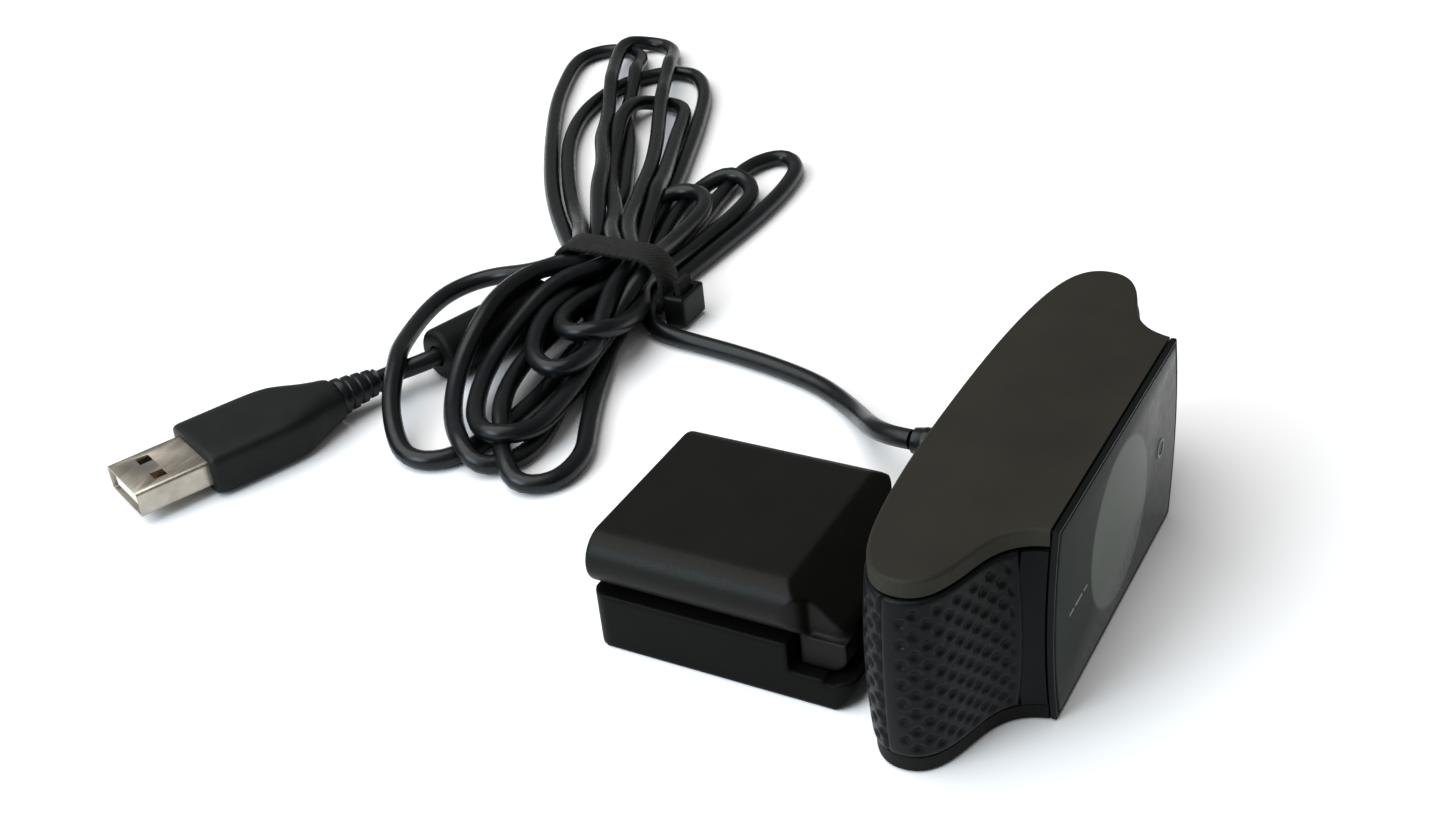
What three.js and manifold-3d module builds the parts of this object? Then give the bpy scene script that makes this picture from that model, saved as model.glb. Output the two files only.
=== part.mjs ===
// Monitor webcam lying on a table with its clip folded shut behind the head.
// Row frame: millimetres, +Z up, lens looking along -Y, origin at the middle of the
// webcam's underside (the loose cable, its tie, ferrite and plug don't count).
import * as THREE from 'three';
import { mergeVertices } from 'three/addons/utils/BufferGeometryUtils.js';
import Module from 'manifold-3d';

const wasm = await Module();
wasm.setup();

// ---------- driving dimensions, in millimetres ----------
const GAP = 0.3;                 // air between neighbouring pieces
const HEAD_HEIGHT = 30;
const FRONT_HALF = 24.4;         // half width of the lens face
const LOBE_HALF = 40.3;          // half width of the lobes behind it
const HEAD_DEPTH = 23.3;
const CAP_HEIGHT = 2.6;
const CAP_PLATE = 1.4;           // thickness of a cap's flat
const CAP_FRONT = 1.3;           // the caps start this far behind the lens face
const CAP_RIM = 1.7;             // wall round a cap's inside recess
const BAND_PROUD = 0.4;          // the wrapped band stands out from the caps
const BAND_WALL = 1.3;
const BAND_START = 4.4;          // the smooth strip ends and the band starts here
const BAND_BOTTOM = CAP_HEIGHT + GAP;
const BAND_TOP = HEAD_HEIGHT - CAP_HEIGHT - GAP;
const SIDE_BULGE = 1.8;          // how far the lens face's sides bow out at mid height
const EYE_RADIUS = 11.9;         // pale disc round the lens
const EYE_HEIGHT = 15;
const PANE_THICKNESS = 1;
const PANE_EDGE = 0.9;           // width of the rim round the pane
const MIC = { x: 18, z: 9 };     // one each side of the lens
const LED = { x: 17, z: 23 };
const BOARD = { half: 30, front: 12, back: 13.2, low: 5.5, high: 25 };
const BOARD_SCREW = { x: 23.6, z: 22 };
const BODY_LENGTH = 67;          // lens face to the back of the clip's hinge
const FRONT_Y = -BODY_LENGTH / 2;
const FAR = 60;                  // reaches past the head on every side, for cutters

const NECK_LEFT = -22.5;
const NECK_RIGHT = -13.5;
const NECK_SCREW = { near: -20.6, far: -15.4, y: 16.4 };
const CLIP_LEFT = -33.5;
const CLIP_RIGHT = -1;
const CLIP_REAR = 64;            // from here on down, Y is measured from the lens face
const BASE_TOP = 9;
const LEG_BOTTOM = BASE_TOP + GAP;
const LEG_TOP = 17.5;
const LEG_FRONT = 31.5;
const BASE_FRONT = 24.6;
const NOTCH_FLOOR = 4.6;
const TAB_FRONT = 25.9;          // the leg's two tabs hang into the base's notch
const TAB_FLOOR = 5;
const NOTCH_REAR = 33.7;
const TILT_AXIS = { y: 27.8, z: 5 };
const LEG_AXIS = { y: 64.6, z: BASE_TOP + GAP / 2 };
const KNUCKLE_TILT = 3;
const KNUCKLE_LEG = 2.4;
const PIN_RADIUS = 0.9;
const PIN_PLAY = 0.15;
const KNUCKLE_PLAY = 0.4;        // room round a knuckle in the piece it turns in
const TILT_KNUCKLES = [[-26.6, -22.8], [-13.2, -9.4]];
const BASE_KNUCKLES = [[-28, -22.6], [-11.4, -6]];
const LEG_KNUCKLE = [-22, -12];
const TABS = [[-31.6, -27.9], [-6.6, -2.9]];
const PAD = { left: -30.2, right: -4.3, front: 37.3, rear: 59.7, thickness: 0.6 };
const ACROSS_LEFT = -40;         // cutters that cross the whole clip run between these
const ACROSS_RIGHT = 5;

const CORD_RADIUS = 1.65;
const CORD_EXIT = { x: 17, z: 9 };
const HANK_HEIGHT = 9.5;         // loops of cord crossing over each other
const TIE = { left: 49, right: 55, near: 66.5, far: 90, height: 13, wall: 1 };
const BEAD = { radius: 4.75, length: 25, x: 18.5, y: 95, angle: -18 };   // ferrite
const PLUG = { x: -22.5, y: 114.5, z: 4, angle: 157 };    // where its metal shell starts
const MOULD = { length: 26, half: 8.1, shoulder: 17, tail: 4, halfHeight: 3.95 };
const RELIEF_LENGTH = 8;

// ---------- materials ----------
function plastic(color, roughness = 0.6) {
  return new THREE.MeshStandardMaterial({ color, roughness, metalness: 0 });
}

function metal(color, roughness = 0.35) {
  return new THREE.MeshStandardMaterial({ color, roughness, metalness: 1 });
}

const capPlastic = plastic(0x34322c, 0.75);
const bandPlastic = plastic(0x14181a, 0.5);
const blackPlastic = plastic(0x101211, 0.5);
const clipPlastic = plastic(0x1e1e1a, 0.6);
const rubber = plastic(0x0c0c0c, 0.9);
const smokedGlass = plastic(0x464e4c, 0.1);
const eyeGrey = plastic(0x646967, 0.4);
const lensGlass = plastic(0x101820, 0.05);
const boardGreen = plastic(0x14502c, 0.6);
const chipBlack = plastic(0x0a0a0a, 0.4);
const ivoryPlastic = plastic(0xd8d4c8, 0.5);
const steel = metal(0xb0b0b0);
const plugSteel = metal(0x9a958a);
const gold = metal(0xc9a04a);
const cordRubber = plastic(0x14181b, 0.45);

// ---------- geometry helpers ----------
function asSolid(geometry) {
  const bare = geometry.clone();
  for (const name of Object.keys(bare.attributes)) {
    if (name !== 'position') bare.deleteAttribute(name);
  }
  const merged = mergeVertices(bare, 1e-4);
  return new wasm.Manifold(new wasm.Mesh({
    numProp: 3,
    vertProperties: new Float32Array(merged.attributes.position.array),
    triVerts: new Uint32Array(merged.index.array),
  }));
}

function asGeometry(solid) {
  const mesh = solid.getMesh();
  const geometry = new THREE.BufferGeometry();
  geometry.setAttribute('position', new THREE.BufferAttribute(mesh.vertProperties, 3));
  geometry.setIndex(new THREE.BufferAttribute(mesh.triVerts, 1));
  geometry.computeVertexNormals();
  return geometry;
}

function cut(geometry, ...tools) {
  let solid = asSolid(geometry);
  for (const tool of tools) solid = solid.subtract(asSolid(tool));
  return asGeometry(solid);
}

function join(geometry, ...others) {
  let solid = asSolid(geometry);
  for (const other of others) solid = solid.add(asSolid(other));
  return asGeometry(solid);
}

function overlap(geometry, other) {
  return asGeometry(asSolid(geometry).intersect(asSolid(other)));
}

// A box between two corners.
function box(x0, x1, y0, y1, z0, z1) {
  const geometry = new THREE.BoxGeometry(x1 - x0, y1 - y0, z1 - z0);
  return geometry.translate((x0 + x1) / 2, (y0 + y1) / 2, (z0 + z1) / 2);
}

// A cylinder along X, Y or Z from one value of that axis to another; a and b are the
// other two coordinates of its axis, in X, Y, Z order.
function rod(axis, radius, from, to, a, b, segments = 24) {
  const geometry = new THREE.CylinderGeometry(radius, radius, to - from, segments);
  const middle = (from + to) / 2;
  if (axis === 'x') return geometry.rotateZ(Math.PI / 2).translate(middle, a, b);
  if (axis === 'y') return geometry.translate(a, middle, b);
  return geometry.rotateX(Math.PI / 2).translate(a, b, middle);
}

function extrude(shape, depth, curveSegments = 8) {
  return new THREE.ExtrudeGeometry(shape, { depth, bevelEnabled: false, curveSegments });
}

// A plan outline in X and Y, extruded from z0 up to z1.
function upFrom(shape, z0, z1, curveSegments) {
  return extrude(shape, z1 - z0, curveSegments).translate(0, 0, z0);
}

// A face outline in X and Z, extruded from y0 back to y1.
function backFrom(shape, y0, y1, curveSegments) {
  return extrude(shape, y1 - y0, curveSegments).rotateX(Math.PI / 2).translate(0, y1, 0);
}

// A side outline in Y and Z, extruded from x0 across to x1.
function acrossFrom(shape, x0, x1, curveSegments) {
  const geometry = extrude(shape, x1 - x0, curveSegments);
  return geometry.rotateX(Math.PI / 2).rotateZ(Math.PI / 2).translate(x0, 0, 0);
}

// A turned piece: profile points are [radius, height], lying along Y.
function turnedY(profile, x, z, segments = 24) {
  const points = profile.map(([radius, height]) => new THREE.Vector2(radius, height));
  return new THREE.LatheGeometry(points, segments).translate(x, 0, z);
}

function roundedRect(x0, x1, y0, y1, radius) {
  const shape = new THREE.Shape();
  shape.moveTo(x0 + radius, y0);
  shape.lineTo(x1 - radius, y0);
  shape.absarc(x1 - radius, y0 + radius, radius, -Math.PI / 2, 0);
  shape.lineTo(x1, y1 - radius);
  shape.absarc(x1 - radius, y1 - radius, radius, 0, Math.PI / 2);
  shape.lineTo(x0 + radius, y1);
  shape.absarc(x0 + radius, y1 - radius, radius, Math.PI / 2, Math.PI);
  shape.lineTo(x0, y0 + radius);
  shape.absarc(x0 + radius, y0 + radius, radius, Math.PI, Math.PI * 1.5);
  return shape;
}

const webcam = new THREE.Group();
const body = new THREE.Group();
body.position.y = FRONT_Y;
webcam.add(body);

function add(name, geometry, material, group = body) {
  const mesh = new THREE.Mesh(geometry, material);
  mesh.name = name;
  group.add(mesh);
  return mesh;
}

// ---------- the head's plan outline ----------
// Right half, from the lens face round to the middle of the back.
function halfOutline() {
  const path = new THREE.Path();
  path.moveTo(FRONT_HALF, 0);
  path.bezierCurveTo(25, 4.4, 27.2, 6.6, 31.6, 7.9);
  path.bezierCurveTo(36.4, 9.4, LOBE_HALF, 10.6, LOBE_HALF, 14.8);
  path.bezierCurveTo(LOBE_HALF, 18.6, 36.6, 20.4, 30.6, 21.5);
  path.bezierCurveTo(22, 23, 11, HEAD_DEPTH, 0, HEAD_DEPTH);
  return path.getPoints(7);
}

// The whole outline as a closed loop of points, moved in by inset (out if negative).
function headLoop(inset) {
  const right = halfOutline();
  const left = right.slice(0, -1).reverse().map((p) => new THREE.Vector2(-p.x, p.y));
  const loop = [...right, ...left];
  const last = loop.length - 1;
  return loop.map((point, i) => {
    const before = loop[i === 0 ? 0 : i - 1];
    const after = loop[i === last ? last : i + 1];
    const along = after.clone().sub(before).normalize();
    return new THREE.Vector2(point.x - along.y * inset, point.y + along.x * inset);
  });
}

// The outline's area behind the plane y = front, as a solid between two heights.
function headSlab(inset, front, z0, z1) {
  const slab = upFrom(new THREE.Shape(headLoop(inset)), z0, z1);
  return overlap(slab, box(-FAR, FAR, front, FAR, z0 - 1, z1 + 1));
}

// A wall that follows the outline, between two insets.
function headWall(outer, inner, front, z0, z1) {
  const hollow = headSlab(inner, front - 3, z0 - 1, z1 + 1);
  return cut(headSlab(outer, front, z0, z1), hollow);
}

// ---------- the head ----------
function addCaps() {
  const bottomRecess = headSlab(CAP_RIM, CAP_FRONT + CAP_RIM, CAP_PLATE, CAP_HEIGHT + 1);
  add('bottom_cap', cut(headSlab(0, CAP_FRONT, 0, CAP_HEIGHT), bottomRecess), capPlastic);
  const low = HEAD_HEIGHT - CAP_HEIGHT;
  const topRecess = headSlab(CAP_RIM, CAP_FRONT + CAP_RIM, low - 1, HEAD_HEIGHT - CAP_PLATE);
  add('top_cap', cut(headSlab(0, CAP_FRONT, low, HEAD_HEIGHT), topRecess), capPlastic);
}

// Slot for the neck and hole for the cable, through the head's back.
function backOpenings() {
  const slot = box(NECK_LEFT - 1.2, NECK_RIGHT + 1.2, 14, 30, 1.6, 9);
  const hole = rod('y', 3.4, 14, 30, CORD_EXIT.x, CORD_EXIT.z);
  return [slot, hole];
}

function addWalls() {
  const inner = BAND_WALL - BAND_PROUD;
  const band = headWall(-BAND_PROUD, inner, BAND_START, BAND_BOTTOM, BAND_TOP);
  add('wrap_band', cut(band, ...backOpenings()), bandPlastic);
  const chassis = headWall(inner + GAP, inner + GAP + 1.1, BAND_START, BAND_BOTTOM, BAND_TOP);
  add('chassis', cut(chassis, ...backOpenings()), blackPlastic);
}

// A lens-face outline whose two sides bow out at mid height.
function facePlate(half, z0, z1, bulge) {
  const shape = new THREE.Shape();
  shape.moveTo(-half, z0);
  shape.lineTo(half, z0);
  shape.quadraticCurveTo(half + 2 * bulge, (z0 + z1) / 2, half, z1);
  shape.lineTo(-half, z1);
  shape.quadraticCurveTo(-half - 2 * bulge, (z0 + z1) / 2, -half, z0);
  return shape;
}

function addFace() {
  const rim = backFrom(facePlate(FRONT_HALF, 0.2, HEAD_HEIGHT - 0.2, SIDE_BULGE), 0.05,
    PANE_THICKNESS);
  const window = facePlate(FRONT_HALF - PANE_EDGE, 1, HEAD_HEIGHT - 1, SIDE_BULGE);
  add('face_rim', cut(rim, backFrom(window, -1, 2)), blackPlastic);
  const paneHalf = FRONT_HALF - PANE_EDGE - GAP;
  const pane = facePlate(paneHalf, 1 + GAP, HEAD_HEIGHT - 1 - GAP, SIDE_BULGE);
  add('front_glass', backFrom(pane, 0, PANE_THICKNESS), smokedGlass);
}

function addFrontHousing() {
  const strip = headSlab(-BAND_PROUD, CAP_FRONT, BAND_BOTTOM, BAND_TOP);
  const block = overlap(strip, box(-FAR, FAR, CAP_FRONT, BAND_START - GAP, 0, FAR));
  const micHoles = [-MIC.x, MIC.x].flatMap((x) => [
    rod('y', 2.6, 2.2, 6, x, MIC.z),
    rod('y', 0.7, 0, 6, x, MIC.z, 12),
  ]);
  const housing = cut(
    block,
    rod('y', EYE_RADIUS + GAP, 0, 2.3, 0, EYE_HEIGHT, 48),
    rod('y', 8.6, 0, 6, 0, EYE_HEIGHT, 32),
    ...micHoles,
    rod('y', 1.4, 0, 6, LED.x, LED.z, 16),
  );
  add('front_housing', housing, blackPlastic);
}

// ---------- the camera module ----------
function addCameraModule() {
  const eye = rod('y', EYE_RADIUS, 1.35, 1.95, 0, EYE_HEIGHT, 48);
  add('lens_surround', cut(eye, rod('y', 3.1, 0, 4, 0, EYE_HEIGHT)), eyeGrey);
  const barrel = rod('y', 4.4, 2.6, 9.4, 0, EYE_HEIGHT, 32);
  const bore = rod('y', 3.3, 1, 12, 0, EYE_HEIGHT, 32);
  add('lens_barrel', cut(barrel, bore), blackPlastic);
  const frontLens = [[0, 2.8], [1.6, 2.95], [3, 3.5], [3, 4.2], [0, 4.2]];
  add('front_lens', turnedY(frontLens, 0, EYE_HEIGHT), lensGlass);
  const rearLens = [[0, 6.4], [3, 6.4], [3, 7], [1.6, 7.5], [0, 7.7]];
  add('rear_lens', turnedY(rearLens, 0, EYE_HEIGHT), lensGlass);
  const holder = box(-7.2, 7.2, 5.4, 11.7, EYE_HEIGHT - 7.2, EYE_HEIGHT + 7.2);
  const well = rod('y', 4.7, 5, 12, 0, EYE_HEIGHT, 32);
  add('lens_holder', cut(holder, well), blackPlastic);
  add('infrared_filter', box(-3.1, 3.1, 9.8, 10.3, EYE_HEIGHT - 3.1, EYE_HEIGHT + 3.1), lensGlass);
  add('image_sensor', box(-3.2, 3.2, 10.8, 11.7, EYE_HEIGHT - 3.2, EYE_HEIGHT + 3.2), chipBlack);
}

// ---------- electronics on the board ----------
function addElectronics() {
  const board = box(-BOARD.half, BOARD.half, BOARD.front, BOARD.back, BOARD.low, BOARD.high);
  const screwHoles = [-BOARD_SCREW.x, BOARD_SCREW.x].map((x) => (
    rod('y', 1.3, BOARD.front - 1, BOARD.back + 1.8, x, BOARD_SCREW.z, 16)));
  add('main_board', cut(board, ...screwHoles), boardGreen);
  const back = BOARD.back + GAP;
  add('video_processor', box(-5, 5, back, back + 1.2, 11, 21), chipBlack);
  add('memory_chip', box(9, 15, back, back + 1, 17, 22), chipBlack);
  add('clock_crystal', box(-12, -8, back, back + 1.1, 17, 19.5), steel);
  add('cable_socket', box(12, 22, back, back + 3, 12.5, 17), ivoryPlastic);
  add('cable_header', box(12.6, 21.4, back + 3 + GAP, back + 6, 13, 16.6), ivoryPlastic);
  add('status_led', rod('y', 1.1, 2, 4.6, LED.x, LED.z, 16), ivoryPlastic);
  for (const [side, x] of [['left', -MIC.x], ['right', MIC.x]]) {
    add(`microphone_boot_${side}`, cut(
      rod('y', 2.3, 2.5, 7, x, MIC.z),
      rod('y', 1.6, 3.3, 8, x, MIC.z),
      rod('y', 0.6, 2, 4, x, MIC.z, 12),
    ), rubber);
    add(`microphone_${side}`, rod('y', 1.35, 3.6, 6.6, x, MIC.z), steel);
  }
}

// A pan-head screw along Y, head towards the back.
function screwAlongY(x, z, tip, underHead) {
  const profile = [[0, tip], [0.55, tip + 0.8], [0.9, tip + 1.4], [0.9, underHead],
    [1.9, underHead], [1.7, underHead + 1], [0, underHead + 1.2]];
  return turnedY(profile, x, z, 16);
}

function addBoardScrews() {
  const { z } = BOARD_SCREW;
  for (const [side, x] of [['left', -BOARD_SCREW.x], ['right', BOARD_SCREW.x]]) {
    const post = cut(
      box(x - 1.9, x + 1.9, 9.2, BOARD.front - GAP, z - 2.4, z + 2.4),
      rod('y', 1.2, 8, 13, x, z, 16),
    );
    add(`board_post_${side}`, post, blackPlastic);
    add(`board_screw_${side}`, screwAlongY(x, z, 9.2, BOARD.back + GAP), steel);
  }
}

// ---------- the neck, fixed in the head, and its pin ----------
function addNeck() {
  const knuckle = rod('x', KNUCKLE_TILT, NECK_LEFT, NECK_RIGHT, TILT_AXIS.y, TILT_AXIS.z);
  const arm = box(NECK_LEFT, NECK_RIGHT, 17, TILT_AXIS.y, 3.2, 7.2);
  const foot = box(NECK_LEFT - 1.5, NECK_RIGHT + 1.5, 14.4, 18.4, 2, 8.4);
  const bore = rod('x', PIN_RADIUS + GAP, -30, 0, TILT_AXIS.y, TILT_AXIS.z);
  const { near, far, y } = NECK_SCREW;
  const screwHoles = [near, far].map((x) => rod('z', 1.2, 1, 9, x, y, 16));
  add('neck', cut(join(knuckle, arm, foot), bore, ...screwHoles), clipPlastic);
  for (const [side, x] of [['left', near], ['right', far]]) {
    const shank = rod('z', 0.85, 1.75, 8.75, x, y, 12);
    const head = rod('z', 1.8, 8.7, 9.9, x, y, 16);
    add(`neck_screw_${side}`, join(shank, head), steel);
  }
  add('tilt_pin', rod('x', PIN_RADIUS, -26.3, -9.7, TILT_AXIS.y, TILT_AXIS.z), steel);
}

// ---------- the clip ----------
function alongX(radius, x0, x1, axis) {
  return rod('x', radius, x0, x1, axis.y, axis.z);
}

// A grip pad's block between two heights, or with room round it the seat it sits in.
function padBlock(room, z0, z1) {
  return box(PAD.left - room, PAD.right + room, PAD.front - room, PAD.rear + room, z0, z1);
}

// The lower plate, which stays flat under the folded leg.
function addClipBase() {
  const plan = roundedRect(CLIP_LEFT, CLIP_RIGHT, BASE_FRONT, CLIP_REAR, 2.6);
  const plate = upFrom(plan, 0, BASE_TOP, 5);
  const notch = box(ACROSS_LEFT, ACROSS_RIGHT, 20, NOTCH_REAR, NOTCH_FLOOR, 12);
  const neckBay = box(-27.2, -8.8, 20, 31.6, -1, 12);
  const [legLeft, legRight] = LEG_KNUCKLE;
  const legBay = alongX(KNUCKLE_LEG + KNUCKLE_PLAY, legLeft - GAP, legRight + GAP, LEG_AXIS);
  const tiltKnuckles = TILT_KNUCKLES.map(([x0, x1]) => join(
    alongX(KNUCKLE_TILT, x0, x1, TILT_AXIS),
    box(x0, x1, TILT_AXIS.y, 32.5, 2, 8),
  ));
  const legKnuckles = BASE_KNUCKLES.map(([x0, x1]) => join(
    alongX(KNUCKLE_LEG, x0, x1, LEG_AXIS),
    box(x0, x1, CLIP_REAR - 1, LEG_AXIS.y, LEG_AXIS.z - KNUCKLE_LEG, BASE_TOP - 0.1),
  ));
  const lip = new THREE.Shape();
  lip.moveTo(20, -1);
  lip.lineTo(28, -1);
  lip.lineTo(20, 7);
  const chamfer = acrossFrom(lip, ACROSS_LEFT, ACROSS_RIGHT);
  const cutPlate = cut(plate, notch, neckBay, legBay, chamfer);
  const joined = join(cutPlate, ...tiltKnuckles, ...legKnuckles);
  const openings = [
    alongX(PIN_RADIUS + PIN_PLAY, ACROSS_LEFT, ACROSS_RIGHT, TILT_AXIS),
    alongX(PIN_RADIUS + PIN_PLAY, -30, -4, LEG_AXIS),
    padBlock(GAP, BASE_TOP - PAD.thickness - GAP, 12),
  ];
  add('clip_base', cut(joined, ...openings), clipPlastic);
  add('base_grip_pad', padBlock(0, BASE_TOP - PAD.thickness, BASE_TOP), rubber);
}

// The upper plate: a thick leg with fully rounded long sides.
function addClipLeg() {
  const round = (LEG_TOP - LEG_BOTTOM) / 2;
  const section = roundedRect(CLIP_LEFT, CLIP_RIGHT, LEG_BOTTOM, LEG_TOP, round - 0.01);
  const bar = backFrom(section, LEG_FRONT - 6, CLIP_REAR, 7);
  const waist = roundedRect(CLIP_LEFT, CLIP_RIGHT, LEG_FRONT, CLIP_REAR + 10, 3.4);
  const nose = roundedRect(CLIP_LEFT + 3, CLIP_RIGHT - 3, TAB_FRONT, 50, 2.4);
  const plan = join(upFrom(waist, 5, 20, 5), upFrom(nose, 5, 20, 5));
  const slope = new THREE.Shape();
  slope.moveTo(20, 8.8);
  slope.lineTo(25.4, 8.8);
  slope.lineTo(27, 11.3);
  slope.lineTo(LEG_FRONT + 3, LEG_TOP + 0.2);
  slope.lineTo(LEG_FRONT + 3, 25);
  slope.lineTo(20, 25);
  const plate = cut(overlap(bar, plan), acrossFrom(slope, ACROSS_LEFT, ACROSS_RIGHT));
  const tab = new THREE.Shape();
  const tabRadius = 2.4;
  tab.moveTo(TAB_FRONT + tabRadius, TAB_FLOOR);
  tab.lineTo(32.6, TAB_FLOOR);
  tab.lineTo(32.6, LEG_BOTTOM + GAP);
  tab.lineTo(TAB_FRONT, LEG_BOTTOM + GAP);
  tab.lineTo(TAB_FRONT, TAB_FLOOR + tabRadius);
  tab.absarc(TAB_FRONT + tabRadius, TAB_FLOOR + tabRadius, tabRadius, Math.PI, Math.PI * 1.5);
  const tabs = TABS.map(([x0, x1]) => acrossFrom(tab, x0, x1, 5));
  const baseBays = BASE_KNUCKLES.map(([x0, x1]) => (
    alongX(KNUCKLE_LEG + KNUCKLE_PLAY, x0 - GAP, x1 + GAP, LEG_AXIS)));
  const neckRoom = box(-27.6, -6.9, 20, 31.4, 5, 10);
  const [left, right] = LEG_KNUCKLE;
  const knuckle = join(
    alongX(KNUCKLE_LEG, left, right, LEG_AXIS),
    box(left, right, CLIP_REAR - 1, LEG_AXIS.y, LEG_BOTTOM + 0.1, LEG_AXIS.z + KNUCKLE_LEG),
  );
  const padSeat = padBlock(GAP, LEG_BOTTOM - 1, LEG_BOTTOM + PAD.thickness + GAP);
  const joined = join(cut(join(plate, ...tabs), ...baseBays, neckRoom), knuckle);
  const bore = alongX(PIN_RADIUS + PIN_PLAY, -30, -4, LEG_AXIS);
  add('clip_leg', cut(joined, bore, padSeat), clipPlastic);
  add('leg_grip_pad', padBlock(0, LEG_BOTTOM, LEG_BOTTOM + PAD.thickness), rubber);
  add('leg_pin', alongX(PIN_RADIUS, -27.8, -6.2, LEG_AXIS), steel);
}

function addWholeHead() {
  addCaps();
  addWalls();
  addFace();
  addFrontHousing();
  addCameraModule();
  addElectronics();
  addBoardScrews();
  addNeck();
}

// ---------- the cord: where it leaves the head ----------
function addGland() {
  const profile = [[0, 18.2], [3.7, 18.2], [3.7, 20], [3, 20], [3, 23.8], [3.9, 23.8],
    [3.9, 25], [3.1, 25.4]];
  const ribs = 4;
  for (let i = 0; i < ribs; i += 1) {
    const start = 26.2 + i * 2.4;
    const radius = 3 - i * 0.2;
    profile.push([radius - 0.5, start], [radius - 0.5, start + 0.8]);
    profile.push([radius, start + 1], [radius, start + 2.2]);
  }
  profile.push([2, 37.2], [0, 37.2]);
  add('cable_gland', turnedY(profile, CORD_EXIT.x, CORD_EXIT.z), cordRubber);
}

function tube(points, radius, steps) {
  const path = new THREE.CatmullRomCurve3(points.map((p) => new THREE.Vector3(...p)));
  const sides = 8;
  const section = new THREE.Shape();
  for (let i = 0; i < sides; i += 1) {
    const angle = (i + 0.5) * 2 * Math.PI / sides;
    const point = [radius * Math.cos(angle), radius * Math.sin(angle)];
    if (i === 0) section.moveTo(...point);
    else section.lineTo(...point);
  }
  return new THREE.ExtrudeGeometry(section, { steps, extrudePath: path });
}

// From the strain relief down to the table and along it to the tie.
function addLead() {
  const points = [[17, 4, 9], [17.5, 8, 8.5], [21.5, 12.5, 6.7], [28.5, 16.2, 4.4],
    [35, 21.8, 2.4], [38.8, 29, 1.75], [40.4, 37, 1.7], [41.9, 47.3, 1.7],
    [43.2, 56, 1.7], [44.6, 61.8, 1.7], [46.6, 66.4, 1.7]];
  add('cord_lead', tube(points, CORD_RADIUS, 16), cordRubber, webcam);
}

function radians(degrees) {
  return degrees * Math.PI / 180;
}

function heading(angle) {
  return new THREE.Vector2(Math.cos(radians(angle)), Math.sin(radians(angle)));
}

// ---------- the loops of cord, held by the tie ----------
// A bunch of loops seen from above: a root at the tie widening to a round end.
function lobe(root, rootHalf, tip, tipRadius) {
  const angle = Math.atan2(tip[1] - root[1], tip[0] - root[0]);
  const side = [-Math.sin(angle), Math.cos(angle)];
  const shape = new THREE.Shape();
  shape.moveTo(root[0] - side[0] * rootHalf, root[1] - side[1] * rootHalf);
  shape.absarc(tip[0], tip[1], tipRadius, angle - Math.PI / 2, angle + Math.PI / 2);
  shape.lineTo(root[0] + side[0] * rootHalf, root[1] + side[1] * rootHalf);
  return upFrom(shape, 0, HANK_HEIGHT, 9);
}

// One wide loop on its own, as a strip that follows it.
function wideLoop() {
  const route = [[47, 84], [49, 94], [46.5, 102], [39, 106.5], [27.5, 105.5], [11, 99.5],
    [1, 92.5], [-6, 84.5], [-6.5, 78], [2, 74]];
  const curve = new THREE.CatmullRomCurve3(route.map(([x, y]) => new THREE.Vector3(x, y, 0)));
  const half = 2.4;
  const steps = 26;
  const left = [];
  const right = [];
  for (let i = 0; i <= steps; i += 1) {
    const at = curve.getPointAt(i / steps);
    const along = curve.getTangentAt(i / steps);
    left.push(new THREE.Vector2(at.x - along.y * half, at.y + along.x * half));
    right.push(new THREE.Vector2(at.x + along.y * half, at.y - along.x * half));
  }
  return upFrom(new THREE.Shape([...right, ...left.reverse()]), 0, HANK_HEIGHT);
}

// A straight channel along a heading, from a start point, for whatever lies under the loops.
function channel(x, y, angle, length, halfWidth, top) {
  const cutter = new THREE.BoxGeometry(length, halfWidth * 2, top + 1);
  return cutter.translate(length / 2, 0, (top - 1) / 2).rotateZ(radians(angle)).translate(x, y, 0);
}

function tieOutline(grow) {
  const corner = 5 - grow;
  return roundedRect(TIE.near + grow, TIE.far - grow, grow, TIE.height - grow, corner);
}

function addHank() {
  const loops = join(
    lobe([57, 80], 7, [140, 128], 22),
    lobe([57, 74], 5.5, [102, 75], 9.5),
    lobe([47, 77.5], 8.8, [6.5, 71.5], 14),
    wideLoop(),
  );
  const aroundTie = box(TIE.left - GAP, TIE.right + GAP, 50, 120, -1, 20);
  const bead = heading(BEAD.angle);
  const underBead = channel(BEAD.x - bead.x * GAP, BEAD.y - bead.y * GAP, BEAD.angle,
    BEAD.length + 2 * GAP, BEAD.radius + GAP, 12);
  const underLoop = channel(PLUG.x, PLUG.y, PLUG.angle - 180, 44, 3.2, 7.2);
  const besideBead = channel(41, 87.6, BEAD.angle, 6.6, 2.2, 12);
  const waist = acrossFrom(tieOutline(TIE.wall + GAP), TIE.left - 2, TIE.right + 2);
  const hank = join(cut(loops, aroundTie, underBead, underLoop, besideBead), waist);
  add('cord_hank', hank, cordRubber, webcam);
}

function addTie() {
  const band = acrossFrom(tieOutline(0), TIE.left, TIE.right, 6);
  const hole = acrossFrom(tieOutline(TIE.wall), TIE.left - 1, TIE.right + 1, 6);
  add('tie_band', cut(band, hole), rubber, webcam);
  const front = TIE.near - GAP;
  const buckle = cut(
    box(TIE.left - 1, TIE.right + 1, front - 4.4, front, 0.4, 6.4),
    box(TIE.left + 0.6, TIE.right - 0.6, front - 3.2, front - 1.4, -1, 8),
  );
  add('tie_buckle', buckle, blackPlastic, webcam);
  add('tie_tail', box(TIE.left + 1, TIE.right - 1, front - 2.9, front - 1.7, 0.2, 8.6),
    rubber, webcam);
}

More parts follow.
